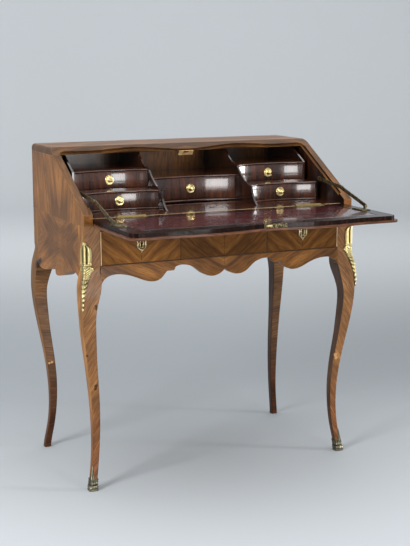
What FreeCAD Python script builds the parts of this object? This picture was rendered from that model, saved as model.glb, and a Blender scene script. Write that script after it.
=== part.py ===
"""Slant-front writing desk on cabriole legs, modelled piece by piece in millimetres.

Case frame while modelling: x = 0 at the middle, y = 0 at the front of the case, +Y to the
back, z = 0 on the floor. The fall stands open. The finished pieces are moved along Y so
that the origin ends under the middle of the whole part.
"""
import FreeCAD, Part
import math
import os

V = FreeCAD.Vector
X_AXIS = V(1, 0, 0)

# Case
CASE_WIDTH = 800.0
CASE_DEPTH = 432.0
WRITING_HEIGHT = 733.0
TOP_RISE = 165.0
TOP_DEPTH = 162.0
SLOPE_START_RISE = 12.7
FRIEZE_DROP = 122.0
GABLE_THICKNESS = 25.0
TOP_THICKNESS = 20.0
TOP_END_ROUND = 11.0
FLOOR_THICKNESS = 18.0
RAIL_HEIGHT = 15.0
FRONT_THICKNESS = 18.0
POST_SIDE = 44.0
BACK_THICKNESS = 10.0
BACK_INSET = 4.0
REAR_RAIL_THICKNESS = 18.0
REAR_RAIL_DROP = 26.0
REAR_RAIL_RISE = 29.0
FLARE_OUT = 7.0
FLARE_DROP = 51.0

# Fall
LID_THICKNESS = 17.0
LIP_THICKNESS = 6.0
LIP_WIDTH = 6.5
LIP_START = 30.0
LID_TOP_MARGIN = 26.0
LID_WAVE = 9.0
LID_CORNER_RADIUS = 20.0
LID_GAP = 1.5
RABBET_RELIEF = 4.0
HINGE_LINE_GAP = 0.4
LEATHER_THICKNESS = 1.5
LEATHER_SIDE_BORDER = 40.0
LEATHER_REAR_BORDER = 36.0
LEATHER_FRONT_BORDER = 27.0

# Butt hinges of the fall
HINGE_LENGTH = 80.0
HINGE_PLACE = 265.0
HINGE_LEAF = 28.0
HINGE_LEAF_THICKNESS = 2.0
KNUCKLE_RADIUS = 4.0
PIN_RADIUS = 1.5
PIN_CLEARANCE = 0.05
KNUCKLE_CLEARANCE = 0.8
KNUCKLE_GAP = 0.3

# Folding stays
STAY_FOOT_RADIUS = 136.0
STAY_FOOT_HEIGHT = 9.0
STAY_BEND = 12.0
STAY_WIDTH = 10.0
STAY_THICKNESS = 2.5
STAY_GAP = 0.5
STAY_PIN_RADIUS = 2.0
STAY_BOSS_RADIUS = 6.5
STAY_BOSS_LENGTH = 3.5
STAY_EAR_THICKNESS = 3.0
STAY_PLATE_WIDTH = 26.0
STAY_PLATE_LENGTH = 52.0
STAY_PLATE_THICKNESS = 2.0
RIVET_RADIUS = 3.6
RIVET_HEIGHT = 0.8

# Lock of the fall
LOCK_WIDTH = 54.0
LOCK_DEPTH = 24.0
LOCK_THICKNESS = 9.0
BOLT_WIDTH = 14.0
BOLT_THICKNESS = 4.0
BOLT_LENGTH = 17.0
BOLT_TRAVEL = 10.0
BOLT_COVER = 3.0
BOLT_CLEARANCE = 0.3
STRIKE_WIDTH = 44.0
STRIKE_LEAF = 26.0
STRIKE_DROP = 15.0
STRIKE_THICKNESS = 1.5

# Frieze with its two drawers and the well between them
CENTRE_PANEL_WIDTH = 256.0
DIVIDER_THICKNESS = 16.0
DRAWER_GAP = 0.7
DRAWER_SIDE = 8.0
DRAWER_BOTTOM = 6.0
DRAWER_DEPTH = 300.0
DRAWER_HEADROOM = 10.0
RUNNER_THICKNESS = 8.0
RUNNER_WIDTH = 21.0
GUIDE_HEIGHT = 29.0
WELL_COVER_WIDTH = 235.0
WELL_COVER_START = 60.0
WELL_COVER_LENGTH = 135.0
WELL_COVER_TRAVEL = 125.0
COVER_GAP = 0.5
COVER_LIFT = 0.3
WELL_WALL = 8.0
WELL_FLOOR = 6.0
THUMB_RADIUS = 9.0
THUMB_DEPTH = 5.0

# Fitted interior
CHANNEL_WIDTH = 14.0
PARTITION_THICKNESS = 6.0
INNER_DIVIDER_THICKNESS = 5.0
INNER_DIVIDER_PLACE = 137.0
INNER_DIVIDER_SETBACK = 3.0
INNER_DIVIDER_FOOT = 55.0
INNER_DIVIDER_SCALLOP = 8.0
SHELF_THICKNESS = 4.5
LOWER_DRAWER_HEIGHT = 41.0
UPPER_DRAWER_HEIGHT = 45.0
CENTRE_DRAWER_HEIGHT = 62.0
SIDE_BASE_THICKNESS = 5.0
CENTRE_BASE_THICKNESS = 7.0
LOWER_FRONT_PLACE = 125.0
UPPER_FRONT_PLACE = 200.0
CENTRE_FRONT_PLACE = 205.0
FRONT_HOLLOW = 17.0
FRONT_SKIN = 9.0
SHELF_NOSE = 2.0
SMALL_SIDE = 5.0
SMALL_BOTTOM = 4.0
SMALL_GAP = 0.5
SMALL_BACK_GAP = 13.0
SMALL_HEADROOM = 4.0

# Knobs
KNOB_PLATE_RADIUS = 13.0
KNOB_PLATE_THICKNESS = 2.5
KNOB_NECK_RADIUS = 4.0
KNOB_HEAD_RADIUS = 7.0
KNOB_LENGTH = 17.0
KNOB_SHANK_RADIUS = 2.5

# Drawer locks and keyhole plates
DRAWER_LOCK_WIDTH = 50.0
DRAWER_LOCK_HEIGHT = 36.0
DRAWER_LOCK_THICKNESS = 8.0
KEYHOLE_DROP = 38.0
KEYHOLE_RADIUS = 2.4
KEYHOLE_SLOT = 8.0
PLATE_WIDTH = 25.0
PLATE_HEIGHT = 48.0
PLATE_THICKNESS = 2.0

# Gilt mounts on the front legs
MOUNT_RISE = 66.0
MOUNT_DROP = 115.0
SABOT_HEIGHT = 36.0
SABOT_LEAF_HEIGHT = 70.0
SABOT_THICKNESS = 2.5
SABOT_SOLE = 2.0
LEAF_TUCK = 4.0

# Leg stations: share of the frieze height, outward offset of the outer corner, side of the section
LEG_STATIONS = (
    (0.855, 10.5, 46.0),
    (0.800, 11.0, 39.0),
    (0.704, 7.0, 34.5),
    (0.581, -3.5, 29.0),
    (0.458, -14.5, 25.5),
    (0.327, -22.0, 22.5),
    (0.221, -23.0, 20.0),
    (0.115, -18.0, 18.5),
    (0.041, -11.0, 18.5),
    (0.000, -8.0, 19.0),
)
POST_ARRIS = 1.0
LEG_ARRIS = 3.0

# Half of the apron's lower edge, centre to leg: distance from the middle and drop below the frieze.
# Each row is one smooth stretch, and two rows meet at a sharp point.
APRON_MIDDLE = (
    ((0.0, 33.0), (14.0, 44.0), (38.0, 50.0), (66.0, 42.0), (90.0, 24.0), (120.0, 14.0), (144.0, 17.0)),
    ((144.0, 17.0), (150.0, 27.0)),
    ((150.0, 27.0), (170.0, 27.0)),
)
# The outer stretch: distance inwards from the leg, and drop
APRON_OUTER = ((178.0, 35.0), (143.0, 51.0), (116.0, 45.0), (86.0, 33.0), (56.0, 26.0), (22.0, 28.0), (0.0, 47.0))

# Side edge, front post to back post: share of the span between the posts, and drop
SIDE_EDGE = (
    ((0.0, 32.0), (0.05, 26.0), (0.12, 23.0), (0.22, 31.0), (0.35, 48.0), (0.44, 54.0), (0.505, 51.0), (0.53, 43.0)),
    ((0.53, 43.0), (0.65, 49.0), (0.79, 56.0), (0.90, 55.0), (1.0, 44.0)),
)

# Corner mount stations: share of its height from the bottom, thickness, reach along each face
MOUNT_STATIONS = (
    (0.00, 1.2, 3.0),
    (0.18, 3.0, 8.0),
    (0.42, 4.0, 11.0),
    (0.60, 6.0, 18.0),
    (0.66, 4.5, 16.0),
    (0.80, 4.0, 13.0),
    (0.92, 4.0, 14.0),
    (1.00, 1.5, 9.0),
)

# Leaf that rises from each gilt shoe: share of its height, thickness, reach along each face
LEAF_STATIONS = (
    (0.00, 1.8, 10.0),
    (0.45, 1.6, 7.5),
    (1.00, 0.8, 3.0),
)

# Places worked out from the sizes above
CASE_HEIGHT = WRITING_HEIGHT + TOP_RISE
SLOPE_START_HEIGHT = WRITING_HEIGHT + SLOPE_START_RISE
FRIEZE_HEIGHT = WRITING_HEIGHT - FRIEZE_DROP
MOUNT_TOP = FRIEZE_HEIGHT + MOUNT_RISE
MOUNT_BOTTOM = FRIEZE_HEIGHT - MOUNT_DROP
HALF_WIDTH = CASE_WIDTH / 2
GABLE_INSIDE = HALF_WIDTH - GABLE_THICKNESS
POST_INSIDE = HALF_WIDTH - POST_SIDE
POST_BACK = CASE_DEPTH - POST_SIDE
POST_TOP = WRITING_HEIGHT - FLOOR_THICKNESS
RAIL_BOTTOM = POST_TOP - RAIL_HEIGHT
TOP_UNDERSIDE = CASE_HEIGHT - TOP_THICKNESS
BACK_REAR = CASE_DEPTH - BACK_INSET
BACK_FACE = BACK_REAR - BACK_THICKNESS
REAR_RAIL_FACE = BACK_FACE - REAR_RAIL_THICKNESS
TOP_FRONT = CASE_DEPTH - TOP_DEPTH
SLOPE = math.atan2(CASE_HEIGHT - SLOPE_START_HEIGHT, TOP_FRONT)
LID_LENGTH = math.hypot(CASE_HEIGHT - SLOPE_START_HEIGHT, TOP_FRONT) - LID_TOP_MARGIN
HINGE_Y = (LID_THICKNESS - (SLOPE_START_HEIGHT - WRITING_HEIGHT) * math.cos(SLOPE)) / math.sin(SLOPE)
HINGE = V(0, HINGE_Y, WRITING_HEIGHT)
CLOSING_TURN = 180.0 - math.degrees(SLOPE)
LID_HALF = GABLE_INSIDE - LID_GAP
LIP_HALF = LID_HALF + LIP_WIDTH
LID_UNDERSIDE = WRITING_HEIGHT - LID_THICKNESS
BODY_UNDERSIDE = LID_UNDERSIDE + LIP_THICKNESS
BODY_LENGTH = LID_LENGTH - LIP_WIDTH
LOCK_FRONT = HINGE_Y - BODY_LENGTH + LID_WAVE
FLARE_RADIUS = (FLARE_DROP**2 + FLARE_OUT**2) / (2 * FLARE_OUT)
PARTITION_OUTSIDE = GABLE_INSIDE - CHANNEL_WIDTH
PARTITION_INSIDE = PARTITION_OUTSIDE - PARTITION_THICKNESS
INNER_DIVIDER_OUTSIDE = INNER_DIVIDER_PLACE + INNER_DIVIDER_THICKNESS / 2
INNER_DIVIDER_INSIDE = INNER_DIVIDER_PLACE - INNER_DIVIDER_THICKNESS / 2
LOWER_SHELF_BASE = WRITING_HEIGHT + SIDE_BASE_THICKNESS + SMALL_GAP * 2 + LOWER_DRAWER_HEIGHT
UPPER_SHELF_BASE = LOWER_SHELF_BASE + SHELF_THICKNESS + SMALL_GAP * 2 + UPPER_DRAWER_HEIGHT
CENTRE_SHELF_BASE = WRITING_HEIGHT + CENTRE_BASE_THICKNESS + SMALL_GAP * 2 + CENTRE_DRAWER_HEIGHT
SMALL_BACK = BACK_FACE - SMALL_BACK_GAP
CENTRE_HALF = CENTRE_PANEL_WIDTH / 2
DIVIDER_INSIDE = CENTRE_HALF - DIVIDER_THICKNESS
WELL_END = WELL_COVER_START + COVER_GAP * 2 + WELL_COVER_LENGTH + WELL_COVER_TRAVEL
STAY_PLANE_EAR = PARTITION_OUTSIDE + (CHANNEL_WIDTH - STAY_BOSS_LENGTH - 2 * STAY_THICKNESS
                                      - 2 * STAY_GAP - STAY_EAR_THICKNESS)
STAY_PLANE_FRONT = STAY_PLANE_EAR + STAY_EAR_THICKNESS + STAY_GAP
STAY_PLANE_REAR = STAY_PLANE_FRONT + STAY_THICKNESS + STAY_GAP
STAY_PLANE_BOSS = STAY_PLANE_REAR + STAY_THICKNESS


def block(x0, x1, y0, y1, z0, z1):
    """A rectangular block between two corners."""
    return Part.makeBox(x1 - x0, y1 - y0, z1 - z0, V(x0, y0, z0))


def rod(radius, start, end):
    """A round rod from one point to another."""
    return Part.makeCylinder(radius, (end - start).Length, start, end - start)


def x_rod(radius, x0, x1, y, z):
    """A round rod along X."""
    return rod(radius, V(x0, y, z), V(x1, y, z))


def prism(edges, along):
    """The closed outline given by edges, carried along a vector."""
    return Part.Face(Part.Wire(edges)).extrude(along)


def polygon(points):
    """The straight edges of a closed outline."""
    return [Part.makeLine(a, b) for a, b in zip(points, points[1:] + points[:1])]


def smooth(points):
    """One smooth edge through points, or a straight one through two."""
    if len(points) == 2:
        return Part.makeLine(*points)
    curve = Part.BSplineCurve()
    curve.interpolate(points)
    return curve.toShape()


def arc(start, middle, end):
    return Part.Arc(start, middle, end).toShape()


def mirrored(shape):
    """The same piece on the other side of the desk."""
    return shape.mirror(V(0, 0, 0), X_AXIS)


def pair(shape):
    """A piece and its mirror image, as two solids of one node."""
    return Part.makeCompound([shape, mirrored(shape)])


def closed_pose(shape):
    """A shape that rides on the fall, turned to where it lies with the fall shut."""
    turned = shape.copy()
    turned.rotate(HINGE, X_AXIS, -CLOSING_TURN)
    return turned


def fuse(first, *others):
    return first.multiFuse(list(others)).removeSplitter()


# Fall


def lid_outline(half, rear, length, z):
    """Plan of the fall: straight back and sides, round corners and a waved front edge."""
    front = HINGE_Y - length
    r = LID_CORNER_RADIUS
    k = r * (1 - math.sqrt(0.5))
    run = half - r
    wave = ((-1.0, 0.0), (-0.72, 0.0), (-0.46, -1.0), (0.0, 1.0), (0.46, -1.0), (0.72, 0.0), (1.0, 0.0))
    points = [V(run * share, front + LID_WAVE * rise, z) for share, rise in wave]
    curve = Part.BSplineCurve()
    curve.interpolate(Points=points, InitialTangent=X_AXIS, FinalTangent=X_AXIS)
    back_left = V(-half, rear, z)
    back_right = V(half, rear, z)
    side_left = V(-half, front + r, z)
    side_right = V(half, front + r, z)
    return [
        Part.makeLine(back_left, side_left),
        arc(side_left, V(-half + k, front + k, z), points[0]),
        curve.toShape(),
        arc(points[-1], V(half - k, front + k, z), side_right),
        Part.makeLine(side_right, back_right),
        Part.makeLine(back_right, back_left),
    ]


def lid_solid(clearance, outward, lip_relief):
    """The fall with its lip, grown by a clearance, and carried outwards past its outer face.

    The relief lengthens the lip towards the hinge line, where it swings through a tight arc.
    """
    base = LID_UNDERSIDE - outward
    rear = HINGE_Y - HINGE_LINE_GAP
    body = prism(
        lid_outline(LID_HALF + clearance, rear, BODY_LENGTH + clearance, base),
        V(0, 0, WRITING_HEIGHT + clearance - base),
    )
    lip = prism(
        lid_outline(LIP_HALF + clearance, HINGE_Y - LIP_START + lip_relief, LID_LENGTH + clearance, base),
        V(0, 0, BODY_UNDERSIDE + clearance - base),
    )
    return body, lip


def knuckle_space(y0, y1):
    """What the hinges take out of the edge that they are let into: barrel and leaf."""
    x0 = HINGE_PLACE - HINGE_LENGTH / 2 - KNUCKLE_CLEARANCE
    x1 = HINGE_PLACE + HINGE_LENGTH / 2 + KNUCKLE_CLEARANCE
    barrel = x_rod(KNUCKLE_RADIUS + KNUCKLE_CLEARANCE, x0, x1, HINGE_Y, WRITING_HEIGHT)
    leaf = block(
        HINGE_PLACE - HINGE_LENGTH / 2, HINGE_PLACE + HINGE_LENGTH / 2, y0, y1,
        WRITING_HEIGHT - HINGE_LEAF_THICKNESS, WRITING_HEIGHT + 1,
    )
    return pair(fuse(barrel, leaf))


LEATHER_BOX = (
    -(LID_HALF - LEATHER_SIDE_BORDER), LID_HALF - LEATHER_SIDE_BORDER,
    LOCK_FRONT + LEATHER_FRONT_BORDER, HINGE_Y - LEATHER_REAR_BORDER,
    WRITING_HEIGHT - LEATHER_THICKNESS, WRITING_HEIGHT,
)


def lid_panel():
    body, lip = lid_solid(0.0, 0.0, 0.0)
    panel = fuse(body, lip)
    lock_space = block(
        -LOCK_WIDTH / 2, LOCK_WIDTH / 2, LOCK_FRONT - LID_WAVE, LOCK_FRONT + LOCK_DEPTH,
        WRITING_HEIGHT - LOCK_THICKNESS, WRITING_HEIGHT,
    )
    hinges = knuckle_space(HINGE_Y - HINGE_LEAF, HINGE_Y)
    return panel.cut(block(*LEATHER_BOX)).cut(lock_space).cut(hinges)


def writing_leather():
    return block(*LEATHER_BOX)


def hinge_leaf(side, knuckles):
    """One leaf with its knuckles; side is -1 for the fall's leaf and +1 for the case's."""
    start = HINGE_PLACE - HINGE_LENGTH / 2
    third = HINGE_LENGTH / 3
    low, high = WRITING_HEIGHT - HINGE_LEAF_THICKNESS, WRITING_HEIGHT
    inner = HINGE_Y + side * (KNUCKLE_RADIUS + KNUCKLE_CLEARANCE)
    outer = HINGE_Y + side * HINGE_LEAF
    leaf = block(start, start + HINGE_LENGTH, min(inner, outer), max(inner, outer), low, high)
    for n in knuckles:
        x0 = start + n * third + KNUCKLE_GAP / 2
        x1 = start + (n + 1) * third - KNUCKLE_GAP / 2
        tab = block(x0, x1, min(HINGE_Y, inner), max(HINGE_Y, inner), low, high)
        leaf = fuse(leaf, tab, x_rod(KNUCKLE_RADIUS, x0, x1, HINGE_Y, WRITING_HEIGHT))
    bore = x_rod(PIN_RADIUS + PIN_CLEARANCE, start - 1, start + HINGE_LENGTH + 1, HINGE_Y, WRITING_HEIGHT)
    return pair(leaf.cut(bore))


def hinge_pins():
    reach = HINGE_LENGTH / 2
    return pair(x_rod(PIN_RADIUS, HINGE_PLACE - reach, HINGE_PLACE + reach, HINGE_Y, WRITING_HEIGHT))


def bolt_box(grow):
    top = WRITING_HEIGHT - BOLT_COVER
    return block(
        -BOLT_WIDTH / 2 - grow, BOLT_WIDTH / 2 + grow, LOCK_FRONT, LOCK_FRONT + BOLT_LENGTH + grow,
        top - BOLT_THICKNESS - grow, top + grow,
    )


def lid_lock():
    case = block(
        -LOCK_WIDTH / 2, LOCK_WIDTH / 2, LOCK_FRONT, LOCK_FRONT + LOCK_DEPTH,
        WRITING_HEIGHT - LOCK_THICKNESS, WRITING_HEIGHT,
    )
    return case.cut(bolt_box(BOLT_CLEARANCE))


def strike_plate():
    """An angle under the top board: a leaf screwed up, and a lip slotted for the bolt."""
    start = LID_LENGTH - LID_WAVE + LID_GAP
    drop = block(
        -STRIKE_WIDTH / 2, STRIKE_WIDTH / 2, HINGE_Y - start - STRIKE_THICKNESS, HINGE_Y - start,
        WRITING_HEIGHT - STRIKE_DROP, WRITING_HEIGHT + STRIKE_DROP / 3,
    )
    slot_top = WRITING_HEIGHT - BOLT_COVER
    slot = block(
        -BOLT_WIDTH / 2 - 1, BOLT_WIDTH / 2 + 1, HINGE_Y - start - STRIKE_LEAF, HINGE_Y - start + 1,
        slot_top - BOLT_THICKNESS - 1, slot_top + 1,
    )
    rise = start * math.sin(SLOPE) + WRITING_HEIGHT
    fold = HINGE_Y + start * math.cos(SLOPE) - (TOP_UNDERSIDE - rise) * math.tan(SLOPE)
    leaf = block(
        -STRIKE_WIDTH / 2, STRIKE_WIDTH / 2, fold, fold + STRIKE_LEAF,
        TOP_UNDERSIDE - STRIKE_THICKNESS, TOP_UNDERSIDE,
    )
    above = block(-STRIKE_WIDTH, STRIKE_WIDTH, 0, CASE_DEPTH, TOP_UNDERSIDE, CASE_HEIGHT)
    return fuse(closed_pose(drop.cut(slot)).cut(above), leaf.cut(closed_pose(slot)))


# Folding stays


def stay_points():
    """Foot, gable pivot and elbow of a stay in the plane of the gable.

    The gable pivot is where the foot's pivot comes to lie with the fall shut, so the two equal
    links lie over one another then. Open, they make one bar with a small bend at the elbow.
    """
    foot = V(0, HINGE_Y - STAY_FOOT_RADIUS, WRITING_HEIGHT + STAY_FOOT_HEIGHT)
    pivot = closed_pose(Part.Vertex(foot)).Point
    half = (pivot - foot) * 0.5
    across = V(0, -half.z, half.y).normalize() * STAY_BEND
    return foot, pivot, foot + half + across


def stay_link(x, start, end, rivet_from, rivet_to):
    """A flat bar with round ends, bored at its start and riveted at its end."""
    radius = STAY_WIDTH / 2
    shift = V(x, 0, 0)
    along = end - start
    across = V(0, -along.z, along.y).normalize() * radius
    corners = [start + across, end + across, end - across, start - across]
    bar = prism(polygon([p + shift for p in corners]), V(STAY_THICKNESS, 0, 0))
    ends = [x_rod(radius, x, x + STAY_THICKNESS, p.y, p.z) for p in (start, end)]
    rivet = x_rod(RIVET_RADIUS, rivet_from, rivet_to, end.y, end.z)
    bore = x_rod(STAY_PIN_RADIUS + PIN_CLEARANCE, x - 1, x + STAY_THICKNESS + 1, start.y, start.z)
    return fuse(bar, rivet, *ends).cut(bore)


def stay_front_link():
    foot, pivot, elbow = stay_points()
    return stay_link(STAY_PLANE_FRONT, foot, elbow, STAY_PLANE_FRONT - RIVET_HEIGHT, STAY_PLANE_FRONT)


def stay_rear_link():
    foot, pivot, elbow = stay_points()
    return stay_link(STAY_PLANE_REAR, pivot, elbow, STAY_PLANE_BOSS, STAY_PLANE_BOSS + RIVET_HEIGHT)


def stay_feet():
    """A plate screwed to the fall with an ear and the pivot pin of the front link."""
    foot = stay_points()[0]
    x1 = STAY_PLANE_EAR + STAY_EAR_THICKNESS
    plate = block(
        x1 - STAY_PLATE_WIDTH, x1, foot.y - STAY_PLATE_LENGTH / 2, foot.y + STAY_PLATE_LENGTH / 2,
        WRITING_HEIGHT, WRITING_HEIGHT + STAY_PLATE_THICKNESS,
    )
    radius = STAY_WIDTH / 2
    ear = block(STAY_PLANE_EAR, x1, foot.y - radius, foot.y + radius, WRITING_HEIGHT, foot.z)
    eye = x_rod(radius, STAY_PLANE_EAR, x1, foot.y, foot.z)
    pin = x_rod(STAY_PIN_RADIUS, STAY_PLANE_EAR, STAY_PLANE_FRONT + STAY_THICKNESS, foot.y, foot.z)
    return pair(fuse(plate, ear, eye, pin))


def stay_pivots():
    """A boss on each gable with the pivot pin of the rear link."""
    pivot = stay_points()[1]
    boss = x_rod(STAY_BOSS_RADIUS, STAY_PLANE_BOSS, GABLE_INSIDE, pivot.y, pivot.z)
    pin = x_rod(STAY_PIN_RADIUS, STAY_PLANE_REAR, STAY_PLANE_BOSS, pivot.y, pivot.z)
    return pair(fuse(boss, pin))


# Case


def flare_out(drop):
    """How far the outside of the case stands out at a drop below the frieze line."""
    return FLARE_RADIUS - math.sqrt(FLARE_RADIUS**2 - drop**2)


def flare_edges(outside, inside, top, deepest, to_point):
    """Section of a board whose outside is straight above the frieze line and flares below it."""
    low = FRIEZE_HEIGHT - deepest
    foot = outside + flare_out(deepest)
    middle = outside + flare_out(deepest / 2)
    line = to_point(outside, FRIEZE_HEIGHT)
    return [
        Part.makeLine(to_point(inside, low), to_point(inside, top)),
        Part.makeLine(to_point(inside, top), to_point(outside, top)),
        Part.makeLine(to_point(outside, top), line),
        arc(line, to_point(middle, FRIEZE_HEIGHT - deepest / 2), to_point(foot, low)),
        Part.makeLine(to_point(foot, low), to_point(inside, low)),
    ]


def side_edge_points(x):
    """The stretches of the scalloped lower edge of a gable, front to back."""
    span = POST_BACK - POST_SIDE
    return [
        [V(x, POST_SIDE + share * span, FRIEZE_HEIGHT - drop) for share, drop in stretch]
        for stretch in SIDE_EDGE
    ]


def gable():
    """The right-hand gable, notched for the leg posts, with the rabbet for the fall's lip."""
    x = GABLE_INSIDE
    rise = (TOP_UNDERSIDE - SLOPE_START_HEIGHT) / math.tan(SLOPE)
    stretches = side_edge_points(x)
    path = [
        V(x, POST_BACK, POST_TOP), V(x, CASE_DEPTH, POST_TOP), V(x, CASE_DEPTH, TOP_UNDERSIDE),
        V(x, rise, TOP_UNDERSIDE), V(x, 0, SLOPE_START_HEIGHT), V(x, 0, POST_TOP), V(x, POST_SIDE, POST_TOP),
    ]
    path = [stretches[-1][-1]] + path + [stretches[0][0]]
    edges = [Part.makeLine(a, b) for a, b in zip(path, path[1:])]
    edges += [smooth(stretch) for stretch in stretches]
    deepest = max(drop for stretch in SIDE_EDGE for share, drop in stretch) + FLARE_OUT
    board = prism(edges, V(GABLE_THICKNESS + 2 * FLARE_OUT + deepest / 4, 0, 0))
    section = prism(
        flare_edges(HALF_WIDTH, GABLE_INSIDE, TOP_UNDERSIDE, deepest, lambda out, z: V(out, 0, z)),
        V(0, CASE_DEPTH, 0),
    )
    body, lip = lid_solid(LID_GAP, LID_THICKNESS, RABBET_RELIEF)
    return board.common(section).cut(closed_pose(lip))


def top_board():
    """The top, its front cut to the slope and to the waved edge of the shut fall."""
    board = block(-HALF_WIDTH, HALF_WIDTH, 0, CASE_DEPTH, TOP_UNDERSIDE, CASE_HEIGHT)
    ends = [
        e for e in board.Edges
        if abs(e.CenterOfMass.x) > HALF_WIDTH - 1 and e.CenterOfMass.z > CASE_HEIGHT - 1
    ]
    board = board.makeFillet(min(TOP_END_ROUND, TOP_THICKNESS * 0.9), ends)
    before = polygon([
        V(-CASE_WIDTH, 0, SLOPE_START_HEIGHT), V(-CASE_WIDTH, TOP_FRONT, CASE_HEIGHT),
        V(-CASE_WIDTH, TOP_FRONT, CASE_HEIGHT * 2), V(-CASE_WIDTH, -CASE_DEPTH, CASE_HEIGHT * 2),
        V(-CASE_WIDTH, -CASE_DEPTH, SLOPE_START_HEIGHT),
    ])
    body, lip = lid_solid(LID_GAP, LID_THICKNESS, RABBET_RELIEF)
    board = board.cut(prism(before, V(2 * CASE_WIDTH, 0, 0)))
    return board.cut(closed_pose(body)).cut(closed_pose(lip))


def interior_floor():
    """The writing level inside: let in for the hinges, and open over the well."""
    floor = block(
        -GABLE_INSIDE, GABLE_INSIDE, HINGE_Y + HINGE_LINE_GAP, BACK_FACE, POST_TOP, WRITING_HEIGHT,
    )
    half = WELL_COVER_WIDTH / 2 + COVER_GAP
    opening = block(-half, half, WELL_COVER_START, WELL_END, POST_TOP, WRITING_HEIGHT)
    return floor.cut(opening).cut(knuckle_space(HINGE_Y, HINGE_Y + HINGE_LEAF))


def back_panel():
    wide = block(-GABLE_INSIDE, GABLE_INSIDE, BACK_FACE, BACK_REAR, POST_TOP, TOP_UNDERSIDE)
    low = block(-POST_INSIDE, POST_INSIDE, BACK_FACE, BACK_REAR, FRIEZE_HEIGHT - REAR_RAIL_DROP, POST_TOP)
    return fuse(wide, low)


def rear_rail():
    return block(
        -POST_INSIDE, POST_INSIDE, REAR_RAIL_FACE, BACK_FACE,
        FRIEZE_HEIGHT - REAR_RAIL_DROP, FRIEZE_HEIGHT + REAR_RAIL_RISE,
    )


def front_top_rail():
    return block(-POST_INSIDE, POST_INSIDE, 0, POST_SIDE, RAIL_BOTTOM, POST_TOP)


def centre_frieze_panel():
    return block(-CENTRE_HALF, CENTRE_HALF, 0, FRONT_THICKNESS, FRIEZE_HEIGHT, RAIL_BOTTOM)


def front_apron():
    """The shaped board under the drawers, its lower edge scrolled and its face flared."""
    right = [[V(x, 0, FRIEZE_HEIGHT - drop) for x, drop in stretch] for stretch in APRON_MIDDLE]
    outer = [V(POST_INSIDE - x, 0, FRIEZE_HEIGHT - drop) for x, drop in APRON_OUTER]
    right.append([right[-1][-1], outer[0]])
    right.append(outer)
    left = [[V(-p.x, 0, p.z) for p in reversed(stretch)] for stretch in reversed(right)]
    corners = [outer[-1], V(POST_INSIDE, 0, FRIEZE_HEIGHT), V(-POST_INSIDE, 0, FRIEZE_HEIGHT), left[0][0]]
    edges = [smooth(stretch) for stretch in left + right]
    edges += [Part.makeLine(a, b) for a, b in zip(corners, corners[1:])]
    deepest = max(drop for x, drop in APRON_OUTER) + FLARE_OUT
    reach = FRONT_THICKNESS + flare_out(deepest) + FLARE_OUT
    board = prism(edges, V(0, 2 * reach, 0)).translate(V(0, FRONT_THICKNESS - reach, 0))
    section = prism(
        flare_edges(0, -FRONT_THICKNESS, POST_TOP, deepest, lambda out, z: V(-POST_INSIDE, -out, z)),
        V(2 * POST_INSIDE, 0, 0),
    )
    return board.common(section)


def leg_rows():
    """Height, outward offset, side and arris of each section, frieze line to floor."""
    rows = [(FRIEZE_HEIGHT, 0.0, POST_SIDE, POST_ARRIS)]
    for share in (0.5, 1.0):
        out = flare_out(share * FLARE_DROP)
        arris = POST_ARRIS + share * (LEG_ARRIS - POST_ARRIS) / 2
        rows.append((FRIEZE_HEIGHT - share * FLARE_DROP, out, POST_SIDE + out, arris))
    rows += [(share * FRIEZE_HEIGHT, out, side, LEG_ARRIS) for share, out, side in LEG_STATIONS]
    return rows


def at_height(z, column):
    """A column of the leg's sections at any height, straight between two sections."""
    rows = leg_rows()
    if z >= rows[0][0]:
        return rows[0][column]
    for upper, lower in zip(rows, rows[1:]):
        if z >= lower[0]:
            share = (z - lower[0]) / (upper[0] - lower[0])
            return lower[column] + share * (upper[column] - lower[column])
    return rows[-1][column]


def square(out, side, arris, z):
    """Section of the front right leg: a square with small round corners, placed by its outer corner."""
    x1, y0 = HALF_WIDTH + out, -out
    x0, y1 = x1 - side, y0 + side
    r, k = arris, arris * (1 - math.sqrt(0.5))
    p = [
        V(x0 + r, y0, z), V(x1 - r, y0, z), V(x1, y0 + r, z), V(x1, y1 - r, z),
        V(x1 - r, y1, z), V(x0 + r, y1, z), V(x0, y1 - r, z), V(x0, y0 + r, z),
    ]
    m = [V(x1 - k, y0 + k, z), V(x1 - k, y1 - k, z), V(x0 + k, y1 - k, z), V(x0 + k, y0 + k, z)]
    edges = []
    for n in range(4):
        a, b, c = p[2 * n], p[2 * n + 1], p[(2 * n + 2) % 8]
        edges += [Part.makeLine(a, b), arc(b, m[n], c)]
    return Part.Wire(edges)


def curved_leg():
    """The front right leg with its post, from the floor to under the writing level."""
    shaft = Part.makeLoft([square(out, side, arris, z) for z, out, side, arris in leg_rows()], True, False)
    post = prism(square(0.0, POST_SIDE, POST_ARRIS, FRIEZE_HEIGHT).Edges, V(0, 0, POST_TOP - FRIEZE_HEIGHT))
    low = FRIEZE_HEIGHT - FLARE_DROP - FLARE_OUT
    apron_space = block(-POST_INSIDE, POST_INSIDE, -CASE_DEPTH, CASE_DEPTH, low, POST_TOP)
    gable_space = block(0, 2 * HALF_WIDTH, POST_SIDE, POST_BACK, low, POST_TOP)
    return fuse(shaft, post).cut(apron_space).cut(gable_space)


def to_back(shape):
    """The same piece at the back of the case."""
    return shape.mirror(V(0, CASE_DEPTH / 2, 0), V(0, 1, 0))


def front_leg():
    sole = block(0, 2 * HALF_WIDTH, -CASE_DEPTH, CASE_DEPTH, -1, SABOT_SOLE)
    return curved_leg().cut(sole)


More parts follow.
